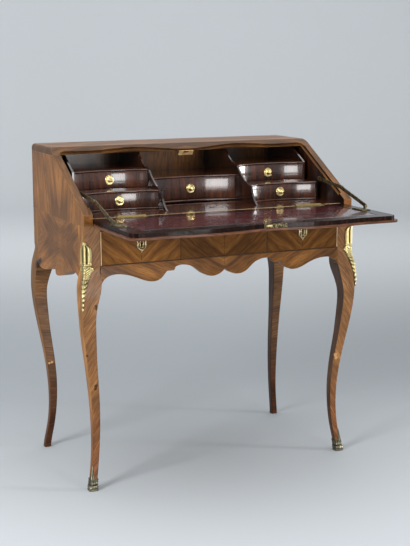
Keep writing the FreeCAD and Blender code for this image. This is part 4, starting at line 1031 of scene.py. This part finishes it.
# Height of the upper edge, of its waves and of its leaf, and power of the rounded square
SHOE_HEIGHT = 31.0
SHOE_WAVE = 2.0
SHOE_LEAF = 34.0
SHOE_SQUARE = 7
# Depth of the inner skin in the wood, and thickness of the sole under it
SHOE_TUCK = 0.8
SHOE_SOLE = 1.9


def shoe_rings(side):
    """A gilt shoe round a front foot: rings outside from the floor up, then inside and down again.

    Each ring is a rounded square, |x|^7 + |y|^7 = 1 on the leg's own section, pushed out by the
    casting's thickness. Its upper edge waves and rises to a veined leaf on the outer corner, and a
    roll swells over the toe, with a groove above it: leaf, veins, roll and groove are bell curves.
    """
    turn = np.linspace(0, 2 * math.pi, 120, endpoint=False)[None]
    apart = np.abs((turn - math.pi / 4 + math.pi) % (2 * math.pi) - math.pi)
    rise = np.linspace(0, 1, 48)[:, None]
    edge = SHOE_HEIGHT + SHOE_WAVE * np.cos(4 * turn + math.pi) + SHOE_LEAF * hump(apart, 0, 0.42)
    z = rise * edge
    heights = np.linspace(2.5, 72, 60)
    section = leg_outline(side, heights * MM) / MM
    outer, inner, front, back = (np.interp(z, heights, section[:, n]) for n in range(4))
    cos, sin = np.cos(turn), np.sin(turn)
    round_off = (np.abs(cos) ** SHOE_SQUARE + np.abs(sin) ** SHOE_SQUARE) ** (-1 / SHOE_SQUARE)
    vein = 0.7 * hump(apart, 0, 0.07) - 0.5 * hump(apart, 0.2, 0.07)
    leaf = vein * smooth_step((z - 16) / 8) + 0.3 * np.cos(12 * turn) * hump(z, 24, 9)
    toe = 2.2 * hump(apart, 0, 0.55) * hump(z, 9, 6.0) - 0.8 * hump(z, 16.5, 1.6)
    relief = leaf + toe
    thick = np.interp(z, SHOE_PROFILE[:, 0], SHOE_PROFILE[:, 1]) + relief
    thick = np.where(rise > 0.97, 0.4, thick)
    rings, shown = [], []
    for skin, low in ((thick, 0.0), (np.full_like(thick, -SHOE_TUCK), SHOE_SOLE)):
        half_x, half_y = (outer - inner) / 2 + skin, (back - front) / 2 + skin
        x = (outer + inner) / 2 + half_x * round_off * cos
        y = (front + back) / 2 - half_y * round_off * sin
        rings.append(np.stack([x * SIDES[side], y, np.maximum(z, low)], axis=-1) * MM)
        shown.append(np.clip(0.5 + 0.4 * relief, 0, 1) if low == 0.0 else np.zeros_like(thick))
    points = np.concatenate([rings[0], rings[1][::-1]])
    return points, np.concatenate([np.concatenate([shown[0], shown[1][::-1]]).ravel(), [0.5, 0.5]])


def hollow(x, half, depth):
    """How far a hollow front lies behind its ends: an arc of the given depth over twice the half width."""
    radius = (half**2 + depth**2) / (2 * depth)
    return depth - radius + np.sqrt(radius**2 - x**2)


# Softened arris of a small drawer's front
DRAWER_ARRIS = 1.4 * MM


def hollow_board(low, high, depth, nose):
    """A board with a hollow front and a rounded nose, as rings from one end to the other.

    The nose is a half ellipse of the board's height, as deep as nose; a large nose makes a shelf's
    rounded edge and a small one the softened arrises of a drawer front.
    """
    x = np.linspace(low[0], high[0], 61)
    middle, half = (low[0] + high[0]) / 2, (high[0] - low[0]) / 2
    front = low[1] + hollow(x - middle, half, depth)
    turn = np.linspace(-math.pi / 2, math.pi / 2, 15)
    tall = (high[2] - low[2]) / 2
    flat = max(tall - nose, 0)
    across = np.sin(turn) * (tall - flat) + np.sign(np.round(turn, 6)) * flat
    across = np.concatenate([across, [tall, -tall]])
    y = np.concatenate([
        front[:, None] + nose * (1 - np.cos(turn))[None],
        np.full((len(x), 2), high[1]),
    ], axis=1)
    rings = np.empty((*y.shape, 3))
    rings[..., 0] = x[:, None]
    rings[..., 1] = y
    rings[..., 2] = (low[2] + high[2]) / 2 + across
    return rings


def leather_rings():
    """The writing leather: an even skin that dips at its border and swells a little between.

    Its height is the writing level less a dip over the last few millimetres and less a slow swell.
    """
    low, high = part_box("writing_leather")
    x = np.linspace(low.x, high.x, 120)[:, None]
    y = np.linspace(low.y, high.y, 50)[None]
    border = np.minimum(np.minimum(x - low.x, high.x - x), np.minimum(y - low.y, high.y - y))
    dip = 0.5 * MM * (1 - smooth_step(border / (5 * MM)))
    swell = 0.08 * MM * (np.sin(x * 31 + 2 * y * 17) * np.sin(y * 43 - x * 9) + 1)
    top = high.z - dip - swell
    rings = np.empty((x.size, 2 * y.size, 3))
    rings[..., 0] = x
    rings[..., 1] = np.concatenate([y, y[:, ::-1]], axis=1)
    rings[..., 2] = np.concatenate([top, np.full_like(top, low.z)], axis=1)
    return rings, (high.x - low.x, high.y - low.y)


# Half of the keyhole plate: points of its outer scroll, right of the keyhole's middle, in millimetres
LYRE_SCROLL = (
    (3.0, 13.5), (3.6, 17.0), (6.8, 19.0), (10.4, 17.4), (11.6, 13.0), (10.9, 8.0), (9.2, 3.5), (8.8, -1.5),
    (9.4, -6.5), (8.2, -11.0), (5.0, -14.0), (2.2, -17.0), (0.6, -20.5), (0.3, -23.5),
)
# Rim of the keyhole, from the top down the right side to the bottom
LYRE_RIM = ((0.0, 8.6), (2.8, 7.2), (4.0, 3.6), (3.4, -1.0), (3.5, -6.5), (2.2, -10.2), (0.0, -11.4))
# How much wider than those points the plate is, and points along a scroll
LYRE_SPREAD = 1.2
LYRE_STEPS = 70
# Beads of the plate: place and radius
LYRE_BEADS = (
    (5.6, -11.6, 2.1), (-5.6, -11.6, 2.1), (0.0, 12.2, 2.8), (3.9, 13.4, 2.4), (-3.9, 13.4, 2.4),
    (0.0, -22.6, 2.2), (0.0, 17.0, 2.0), (7.0, 2.0, 1.6), (-7.0, 2.0, 1.6),
)


def keyhole_plate(middle):
    """A gilt lyre of two scrolls round the keyhole, a rim and domed beads.

    The radius of a scroll swells towards its middle by a sine squared and ripples by a cosine.
    """
    skins = []
    share = np.linspace(0, 1, LYRE_STEPS)
    for points, thick in ((LYRE_SCROLL, 1.95), (LYRE_RIM, 1.5)):
        for sign in (1, -1):
            flat = curve(points, LYRE_STEPS) * MM
            proud = np.full(LYRE_STEPS, -thick * 0.6 * MM)
            path = np.stack([sign * LYRE_SPREAD * flat[:, 0], proud, flat[:, 1]], axis=-1) + middle
            swell = 0.75 + 0.5 * np.sin(math.pi * share) ** 2 + 0.25 * np.cos(7 * math.pi * share)
            skins.append(shell(scroll(path, thick * MM * swell)))
    arc = np.linspace(0.02, math.pi / 2, 8)
    for x, z, radius in LYRE_BEADS:
        dome = [(radius * math.cos(t), radius * math.sin(t) * 0.9) for t in arc]
        bead = lathe([(radius, -0.5), *dome], middle + np.array((x * MM, 0, z * MM)), 20)
        skins.append(shell(bead))
    return skins


# Turned knob: radius and reach in millimetres, from the plate's back to the tip of the head
KNOB_PROFILE = (
    (12.4, -0.8), (12.9, 0.6), (13.0, 1.3), (12.6, 2.0), (11.8, 2.2), (11.0, 1.8), (8.0, 1.9),
    (5.6, 2.3), (4.6, 3.0), (3.3, 4.2), (2.8, 6.2), (3.0, 8.2), (4.4, 9.6), (5.7, 11.0), (6.1, 12.6),
    (5.7, 14.4), (4.4, 15.9), (2.4, 16.7), (0.8, 16.9),
)


def fall_front(x):
    """Foremost y of the fall's upper edge at each x, from cuts through it above its lip."""
    lip_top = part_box("lid_panel")[0].z + LIP_THICKNESS
    return np.array([p[p[:, 2] > lip_top, 1].min() for p in cuts("lid_panel", 0, x)])


# Left and right end of the lock's face plate
LOCK_PLATE = (-17 * MM, 47 * MM)


def lock_plate_skins(thick):
    """The lock's face plate on the fall's front edge, bent to the edge and open round the bolt.

    Four strips follow the fall's waved front, whose place is cut from its own mesh.
    """
    lock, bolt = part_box("lid_lock"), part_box("lid_lock_bolt")
    gap = 0.6 * MM
    base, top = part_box("lid_panel")[0].z + LIP_THICKNESS + 0.3 * MM, lock[1].z - gap
    left, right = bolt[0].x - gap, bolt[1].x + gap
    skins = []
    for start, end, low, high in (
        (LOCK_PLATE[0], left, base, top), (right, LOCK_PLATE[1], base, top),
        (left, right, base, bolt[0].z - gap), (left, right, bolt[1].z + gap, top),
    ):
        x = np.linspace(start, end, 16)
        front = fall_front(x)
        z = np.linspace(low, high, 6)
        rings = np.empty((16, 12, 3))
        rings[..., 0] = x[:, None]
        rings[:, :6, 1] = front[:, None] - thick
        rings[:, 6:, 1] = front[:, None] + thick
        rings[..., 2] = np.concatenate([z, z[::-1]])
        skins.append(shell(rings))
    return skins


# Paper sweep of the stage, in metres: flat floor, bend, wall, and the way back from the camera
FLOOR_REACH = 5.6
BEND_RADIUS = 1.6
WALL_TOP = 5.0
SWEEP_FACING = (0.427, 0.904, 0.0)
# Distances back between which painted shade darkens the floor, the paper turns to the paler wall colour as
# painted light, and painted light and shade run from left to right
SHADE_RUN = (-0.6, 1.05)
WALL_RUN = (1.15, 4.2)
SIDES_RUN = (0.2, 1.2)
# Places across between which that shading falls, and its two levels
SIDES_ACROSS = (-1.3, 1.9)
SIDES_LEVELS = (1.1, 0.88)
# The wall that no lamp reaches glows a little: distances from the middle and back, and strength
UNLIT_RADIUS = (4.2, 5.3)
UNLIT_RUN = (3.5, 0.5)
UNLIT_GLOW = 0.5


def sweep_paper(colours):
    """Matt paper: pale, with painted shade behind the desk, painted light and shade from left to right, a
    paler wall as painted light, and painted light where the wall glows a little so that it looks evenly lit
    from every side.
    """
    material, tree = new_material("paper_sweep")
    spot = node(tree, "TexCoord")["Object"]
    across = node(tree, "SeparateXYZ", (spot,))[0]
    back = node(tree, "VectorMath", (spot, SWEEP_FACING), operation="DOT_PRODUCT")["Value"]
    # Painted shade behind the desk
    amount = node(tree, "MapRange", (back, *SHADE_RUN), **SMOOTH)[0]
    tone = node(tree, "MixRGB", (amount, colours.backdrop, colours.backdrop_shade))[0]
    # Painted light: the paler wall
    amount = node(tree, "MapRange", (back, *WALL_RUN), **SMOOTH)[0]
    tone = node(tree, "MixRGB", (amount, tone, colours.backdrop_wall))[0]
    # Painted light on the left and painted shade on the right
    factor = node(tree, "MapRange", (across, *SIDES_ACROSS, *SIDES_LEVELS), **SMOOTH)[0]
    shaded = node(tree, "MixRGB", (1.0, tone, factor), blend_type="MULTIPLY")[0]
    amount = node(tree, "MapRange", (back, *SIDES_RUN), **SMOOTH)[0]
    tone = node(tree, "MixRGB", (amount, tone, shaded))[0]
    shader = node(tree, "BsdfDiffuse", {"Color": tone})[0]
    # Painted light: the wall that no lamp reaches glows for camera, glossy and transmission rays
    path = node(tree, "LightPath")
    seen = node(tree, "Math", (path["Is Camera Ray"], path["Is Glossy Ray"]), operation="MAXIMUM")[0]
    seen = node(tree, "Math", (seen, path["Is Transmission Ray"]), operation="MAXIMUM")[0]
    level = node(tree, "VectorMath", (spot, (1, 1, 0)), operation="MULTIPLY")[0]
    far = node(tree, "VectorMath", (level,), operation="LENGTH")["Value"]
    far = node(tree, "MapRange", (far, *UNLIT_RADIUS), **SMOOTH)[0]
    near = node(tree, "MapRange", (back, *UNLIT_RUN), **SMOOTH)[0]
    unlit = node(tree, "Math", (far, near), operation="MULTIPLY")[0]
    share = node(tree, "Math", (seen, unlit), operation="MULTIPLY")[0]
    glow = node(tree, "MixRGB", (share, (0, 0, 0, 1), tone))[0]
    glow = node(tree, "Emission", {"Color": glow, "Strength": UNLIT_GLOW})[0]
    shader = node(tree, "AddShader", (shader, glow))[0]
    node(tree, "OutputMaterial", {"Surface": shader})
    return material


def paper_bowl():
    """A round paper floor that bends up into a wall on every side.

    A square grid is drawn to a disc by x = u sqrt(1 - v^2 / 2), y = v sqrt(1 - u^2 / 2). The distance
    from the disc's middle then runs along the profile of floor, bend and wall.
    """
    side = np.linspace(-1, 1, 121)
    u, v = np.meshgrid(side, side, indexing="ij")
    x, y = u * np.sqrt(1 - v**2 / 2), v * np.sqrt(1 - u**2 / 2)
    along = np.hypot(x, y)
    turn = np.linspace(0, math.pi / 2, 24)
    reach = np.concatenate([[0], FLOOR_REACH + BEND_RADIUS * np.sin(turn), [FLOOR_REACH + BEND_RADIUS]])
    rise = np.concatenate([[0], BEND_RADIUS * (1 - np.cos(turn)), [WALL_TOP]])
    run = np.concatenate([[0], np.cumsum(np.hypot(np.diff(reach), np.diff(rise)))])
    out = np.interp(along * run[-1], run, reach) / np.maximum(along, 1e-9)
    points = np.stack([x * out, y * out, np.interp(along * run[-1], run, rise)], axis=-1)
    index = np.arange(side.size**2).reshape(u.shape)
    quads = np.stack([index[:-1, :-1], index[1:, :-1], index[1:, 1:], index[:-1, 1:]], axis=-1)
    return points.reshape(-1, 3), quads.reshape(-1, 4)


class DESK_OT_veneers(bpy.types.Operator):
    """Tulipwood on the case, legs and frieze, matched about the middle of each panel"""

    bl_idname = "desk.veneers"
    bl_label = "Veneers"

    def execute(self, context):
        colours = context.scene.desk_colours
        for side, sign in SIDES.items():
            assign(gable_veneer(f"gable_{side}", colours, sign), f"{side}_gable")
            low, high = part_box(f"{side}_frieze_drawer_front")
            centre = ((low.x + high.x) / 2, FAR, low.z + UNDER)
            inner = high.x if sign < 0 else low.x
            material = tulipwood(
                f"frieze_{side}", colours, FRIEZE_GRAIN, centre,
                contrast=0.35, shade=FRIEZE_SHADES[side], level=FRIEZE_LEVEL, joint=inner,
            )
            assign(material, f"{side}_frieze_drawer_front")
        middle = tulipwood(
            "frieze_middle", colours, FRIEZE_GRAIN, (0, FAR, UNDER),
            contrast=0.45, shade=FRIEZE_SHADES["middle"], level=FRIEZE_LEVEL,
        )
        assign(middle, "centre_frieze_panel", "front_top_rail")
        # Painted shade: the apron is drawn at 0.85 of the veneer's tone
        apron = tulipwood(
            "apron", colours, (1, 0, 0.5), (0, FAR, UNDER), contrast=0.4, shade=0.85, level=0.14
        )
        assign(apron, "front_apron")
        # Painted light and shade: the front legs are drawn lighter, at 1.1, and the back legs darker, at
        # 0.55 with their outer sides at 0.6
        front = leg_veneer(
            "front_legs", colours, (-0.7, 0, 1),
            band=7.0, contrast=0.25, shade=1.1, side_shade=1.0, foot=colours.foot_front,
        )
        assign(front, "front_left_leg", "front_right_leg")
        back = leg_veneer(
            "back_legs", colours, (1, 0, 0.05),
            band=6.0, contrast=0.5, shade=0.55, side_shade=0.6, foot=colours.foot_back,
        )
        assign(back, "back_left_leg", "back_right_leg")
        assign(top_veneer(colours), "top_board")
        return {"FINISHED"}


class DESK_OT_fall(bpy.types.Operator):
    """The fall: dark border and edges, veneered outside, with its leather and lock plate"""

    bl_idname = "desk.fall"
    bl_label = "Fall"

    def execute(self, context):
        colours = context.scene.desk_colours
        assign(fall_wood(colours), "lid_panel", "lid_lock")
        rings, flat = leather_rings()
        leather = piece(
            "leather_sheet", [shell(rings)], writing_leather(colours), "fall",
            ["writing_leather"],
        )
        mottled = metal(
            "mottled_brass", colours.gilt_dull, colours.iron_dark,
            grit=0.5 * MM, roughness=0.5, patch=3 * MM, dulling=0.3,
        )
        piece("lock_face_plate", lock_plate_skins(0.5 * MM), mottled, "fall")
        return {"FINISHED"}


class DESK_OT_interior(bpy.types.Operator):
    """Dark polished drawers, shelves and partitions, and bare oak linings"""

    bl_idname = "desk.interior"
    bl_label = "Interior"

    def execute(self, context):
        colours, sizes = context.scene.desk_colours, context.scene.desk_sizes
        tones = interior_tones(colours)
        upright = dark_wood("interior_upright", tones, (0, 0, 1), (0, -1, 0))
        flat = dark_wood("interior_flat", tones, (1, 0, 0), (0, 0, 1))
        # Painted shade: the partitions and dividers are drawn near black, as if in shadow
        black = dark_wood("interior_partitions", near_black_and_shaded_tones(colours), (0, 0, 1), (1, 0, 0))
        assign(black, "side_partitions", "gradin_dividers")
        assign(flat, "interior_floor", "well_cover")
        # The shelves over and under each drawer follow its hollow front
        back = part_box("gradin_shelves")[1].y
        gap = 0.5 * MM
        boards = []
        for drawer in SMALL_DRAWERS:
            low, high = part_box(f"{drawer}_front")
            front = hollow_board(low, high, sizes.front_hollow, DRAWER_ARRIS)
            piece(
                f"{drawer}_hollow_front", [shell(front)], upright, drawer,
                [f"{drawer}_front"],
            )
            levels = [(high.z + gap, high.z + gap + sizes.shelf_thickness)]
            if "upper" not in drawer:
                levels.append((WRITING_LEVEL, low.z - gap))
            for base, top in levels:
                board = hollow_board(
                    (low.x - gap, low.y - sizes.shelf_nose, base), (high.x + gap, back, top),
                    sizes.front_hollow, (top - base) / 2,
                )
                boards.append(shell(board))
        piece("nosed_shelves", boards, flat, "case", ["gradin_shelves"])
        # A pale strip along the floor's front edge stops at the hinges
        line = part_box("interior_floor")[0].y
        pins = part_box("hinge_pins")[1].x
        leaf = pins - HINGE_LENGTH
        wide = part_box("lid_panel")[1].x - 8 * MM
        strips = []
        for left, right in ((-wide, -pins - MM), (-leaf, leaf), (pins + MM, wide)):
            low = (left, line + 0.2 * MM, WRITING_LEVEL - 2 * MM)
            high = (right, line + 3 * MM, WRITING_LEVEL + 0.3 * MM)
            strips.append(shell(strip(low, high, 0.3 * MM)))
        piece("floor_lipping", strips, pale_lipping(colours), "case")
        oak = bare_oak("oak_lining", colours, (1, 0, 0), (0, -1, 0))
        boxes = [name for name in NODES if name.endswith("_box")]
        assign(oak, *boxes, "frieze_dividers", "drawer_runners", "rear_rail")
        assign(back_boards(colours), "back_panel")
        return {"FINISHED"}


class DESK_OT_drawer_highlight_strips(bpy.types.Operator):
    """Pale strips at the outer ends of the frieze drawers: a painted highlight where their edges catch the
    light
    """

    bl_idname = "desk.drawer_lippings"
    bl_label = "Drawer lippings"

    def execute(self, context):
        colours = context.scene.desk_colours
        material = pale_lipping(colours)
        # Painted highlight: pale strips stand where the drawers' outer edges catch the light
        wide, proud, deep = 2.2 * MM, 0.5 * MM, 5 * MM
        for side, sign in SIDES.items():
            low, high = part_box(f"{side}_frieze_drawer_front")
            outer = low.x if sign < 0 else high.x - wide
            lipping = strip((outer, low.y - proud, low.z), (outer + wide, low.y + deep, high.z), 0.5 * MM)
            piece(
                f"{side}_drawer_highlight_strip", [shell(lipping)], material, f"{side}_frieze_drawer",
            )
        return {"FINISHED"}


class DESK_OT_ironwork(bpy.types.Operator):
    """Stays, hinges, locks, screws and other plain metal"""

    bl_idname = "desk.ironwork"
    bl_label = "Ironwork"

    def execute(self, context):
        colours, sizes = context.scene.desk_colours, context.scene.desk_sizes
        iron = metal(
            "stay_iron", colours.iron, colours.iron_dark, grit=0.6 * MM, roughness=0.42, patch=9 * MM
        )
        assign(iron, *[n for n in NODES if "stay" in n or n.endswith("drawer_lock")])
        brass = metal(
            "plain_brass", colours.brass, colours.brass_worn,
            grit=0.5 * MM, roughness=0.28, patch=12 * MM, dulling=0.5,
        )
        assign(brass, "lid_lock_bolt", "hinge_pins")
        dull = metal(
            "dull_brass", colours.brass_worn, colours.iron, grit=0.6 * MM, roughness=0.4, patch=9 * MM
        )
        assign(dull, "hinge_case_leaves", "hinge_lid_leaves")
        pale = metal(
            "pale_brass", colours.lipping, colours.brass, grit=0.6 * MM, roughness=0.6, patch=9 * MM
        )
        assign(pale, "strike_plate")
        leaves = {"case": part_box("hinge_case_leaves")[1].y, "fall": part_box("hinge_lid_leaves")[0].y}
        hinge_y = (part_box("hinge_pins")[0].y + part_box("hinge_pins")[1].y) / 2
        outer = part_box("hinge_pins")[1].x
        for body, edge in leaves.items():
            y = hinge_y + (edge - hinge_y) * HINGE_SCREW_LINE
            heads = []
            for sign in SIDES.values():
                for n, back in enumerate(HINGE_SCREWS):
                    place = (sign * (outer - back), y, WRITING_LEVEL)
                    screw = slotted_screw(place, sizes.screw_radius, slot_turn=0.4 + 1.1 * n + sign)
                    heads.append(shell(screw))
            piece(f"{body}_hinge_screws", heads, brass, body)
        low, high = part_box("stay_feet")
        heads = []
        for sign in SIDES.values():
            for y in (low.y + FOOT_INSET, high.y - FOOT_INSET):
                place = (sign * (high.x - FOOT_MIDDLE), y, WRITING_LEVEL + FOOT_THICKNESS)
                heads.append(shell(slotted_screw(place, sizes.screw_radius, slot_turn=y * 40 + sign)))
        piece("stay_foot_screws", heads, brass, "fall")
        return {"FINISHED"}


class DESK_OT_gilt_mounts(bpy.types.Operator):
    """Gilt mounts on the knees, shoes on the front feet and lyre keyhole plates"""

    bl_idname = "desk.gilt_mounts"
    bl_label = "Gilt mounts"

    def execute(self, context):
        colours = context.scene.desk_colours
        gilt = gilt_bronze("gilt_bronze", colours.gilt, colours.gilt_recess)
        # Painted shade: the keyhole plates get darker gilt than the mounts, as if shaded under the fall
        dull = gilt_bronze("shaded_dull_gilt_bronze", colours.gilt_dull, colours.gilt_dull_recess)
        grey = gilt_bronze("worn_gilt_bronze", colours.shoe, colours.shoe_recess)
        shoes, shown = [], []
        for side in SIDES:
            rings, relief = corner_mount_rings(side, context.scene.desk_sizes.mount_relief)
            piece(
                f"{side}_gilt_mount", [shell(rings)], gilt, "case",
                [f"{side}_corner_mount"], relief,
            )
            rings, relief = shoe_rings(side)
            shoes.append(shell(rings))
            shown.append(relief)
            low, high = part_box(f"{side}_frieze_drawer_escutcheon")
            middle = np.array(((low.x + high.x) / 2, high.y, (low.z + high.z) / 2))
            skins = keyhole_plate(middle)
            points = np.concatenate([s[0] for s in skins])
            raised = np.clip((high.y - points[:, 1]) / (1.6 * MM), 0, 1)
            piece(
                f"{side}_keyhole_plate", skins, dull, f"{side}_frieze_drawer",
                [f"{side}_frieze_drawer_escutcheon"], raised,
            )
        piece("gilt_shoes", shoes, grey, "case", ["front_sabots"], np.concatenate(shown))
        return {"FINISHED"}


class DESK_OT_knobs(bpy.types.Operator):
    """Turned brass knobs with flat plates on the small drawers"""

    bl_idname = "desk.knobs"
    bl_label = "Knobs"

    def execute(self, context):
        colours, sizes = context.scene.desk_colours, context.scene.desk_sizes
        brass = metal(
            "turned_brass", colours.brass, colours.brass_worn,
            grit=0.4 * MM, roughness=0.24, patch=9 * MM, dulling=0.55,
        )
        profile = np.array(KNOB_PROFILE)
        profile = profile / profile.max(axis=0) * (sizes.knob_radius / MM, sizes.knob_reach / MM)
        for drawer in SMALL_DRAWERS:
            low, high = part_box(f"{drawer}_knob")
            centre = ((low.x + high.x) / 2, low.y + sizes.knob_reach, (low.z + high.z) / 2)
            piece(
                f"{drawer}_turned_knob", [shell(lathe(profile, centre, 48))], brass, drawer,
                [f"{drawer}_knob"],
            )
        return {"FINISHED"}


class DESK_OT_stage(bpy.types.Operator):
    """Pale paper sweep, soft lamps and the camera"""

    bl_idname = "desk.stage"
    bl_label = "Stage"

    def execute(self, context):
        scene = context.scene
        colours = scene.desk_colours
        points, quads = paper_bowl()
        mesh = bpy.data.meshes.new("paper_sweep")
        mesh.from_pydata(points.tolist(), [], quads.tolist())
        mesh.shade_smooth()
        mesh.materials.append(sweep_paper(colours))
        sweep = bpy.data.objects.new("paper_sweep", mesh)
        scene.collection.objects.link(sweep)
        for name, (place, aim, width, height, power) in LAMPS.items():
            lamp = bpy.data.lights.new(name, "AREA")
            lamp.shape = "RECTANGLE"
            lamp.size, lamp.size_y = width, height
            lamp.energy = power
            holder = bpy.data.objects.new(name, lamp)
            holder.location = place
            holder.rotation_euler = (Vector(aim) - Vector(place)).to_track_quat("-Z", "Y").to_euler()
            holder.visible_camera = False
            scene.collection.objects.link(holder)
        world = bpy.data.worlds.new("soft_room")
        world.use_nodes = True
        room = world.node_tree.nodes["Background"].inputs
        room["Color"].default_value = colours.backdrop
        room["Strength"].default_value = WORLD_STRENGTH
        scene.world = world
        scene.view_settings.view_transform = "Standard"
        camera = bpy.data.cameras.new("photo_camera")
        camera.lens = CAMERA_LENS
        camera.sensor_width = CAMERA_SENSOR
        camera.clip_end = 100
        holder = bpy.data.objects.new("photo_camera", camera)
        holder.location = CAMERA_PLACE
        holder.rotation_euler = (math.radians(90 - CAMERA_PITCH), 0, math.radians(-CAMERA_YAW))
        scene.collection.objects.link(holder)
        scene.camera = holder
        return {"FINISHED"}


class DESK_PT_finish(bpy.types.Panel):
    """Lists the desk's finishing steps in the sidebar"""

    bl_label = "Desk finish"
    bl_space_type = "VIEW_3D"
    bl_region_type = "UI"
    bl_category = "Desk"

    def draw(self, context):
        for operator in OPERATORS:
            self.layout.operator(operator.bl_idname)
        for group in (context.scene.desk_colours, context.scene.desk_sizes):
            for key in group.__annotations__:
                self.layout.prop(group, key)


OPERATORS = (
    DESK_OT_veneers, DESK_OT_fall, DESK_OT_interior, DESK_OT_drawer_highlight_strips, DESK_OT_ironwork,
    DESK_OT_gilt_mounts, DESK_OT_knobs, DESK_OT_stage,
)
CLASSES = (DeskColours, DeskSizes, *OPERATORS, DESK_PT_finish)


def register():
    for cls in CLASSES:
        bpy.utils.register_class(cls)
    bpy.types.Scene.desk_colours = PointerProperty(type=DeskColours)
    bpy.types.Scene.desk_sizes = PointerProperty(type=DeskSizes)


def unregister():
    del bpy.types.Scene.desk_sizes
    del bpy.types.Scene.desk_colours
    for cls in reversed(CLASSES):
        bpy.utils.unregister_class(cls)


def main():
    """Dresses the desk."""
    register()
    bpy.ops.desk.veneers()
    bpy.ops.desk.fall()
    bpy.ops.desk.interior()
    bpy.ops.desk.drawer_lippings()
    bpy.ops.desk.ironwork()
    bpy.ops.desk.gilt_mounts()
    bpy.ops.desk.knobs()
    bpy.ops.desk.stage()


if __name__ == "__main__":
    main()
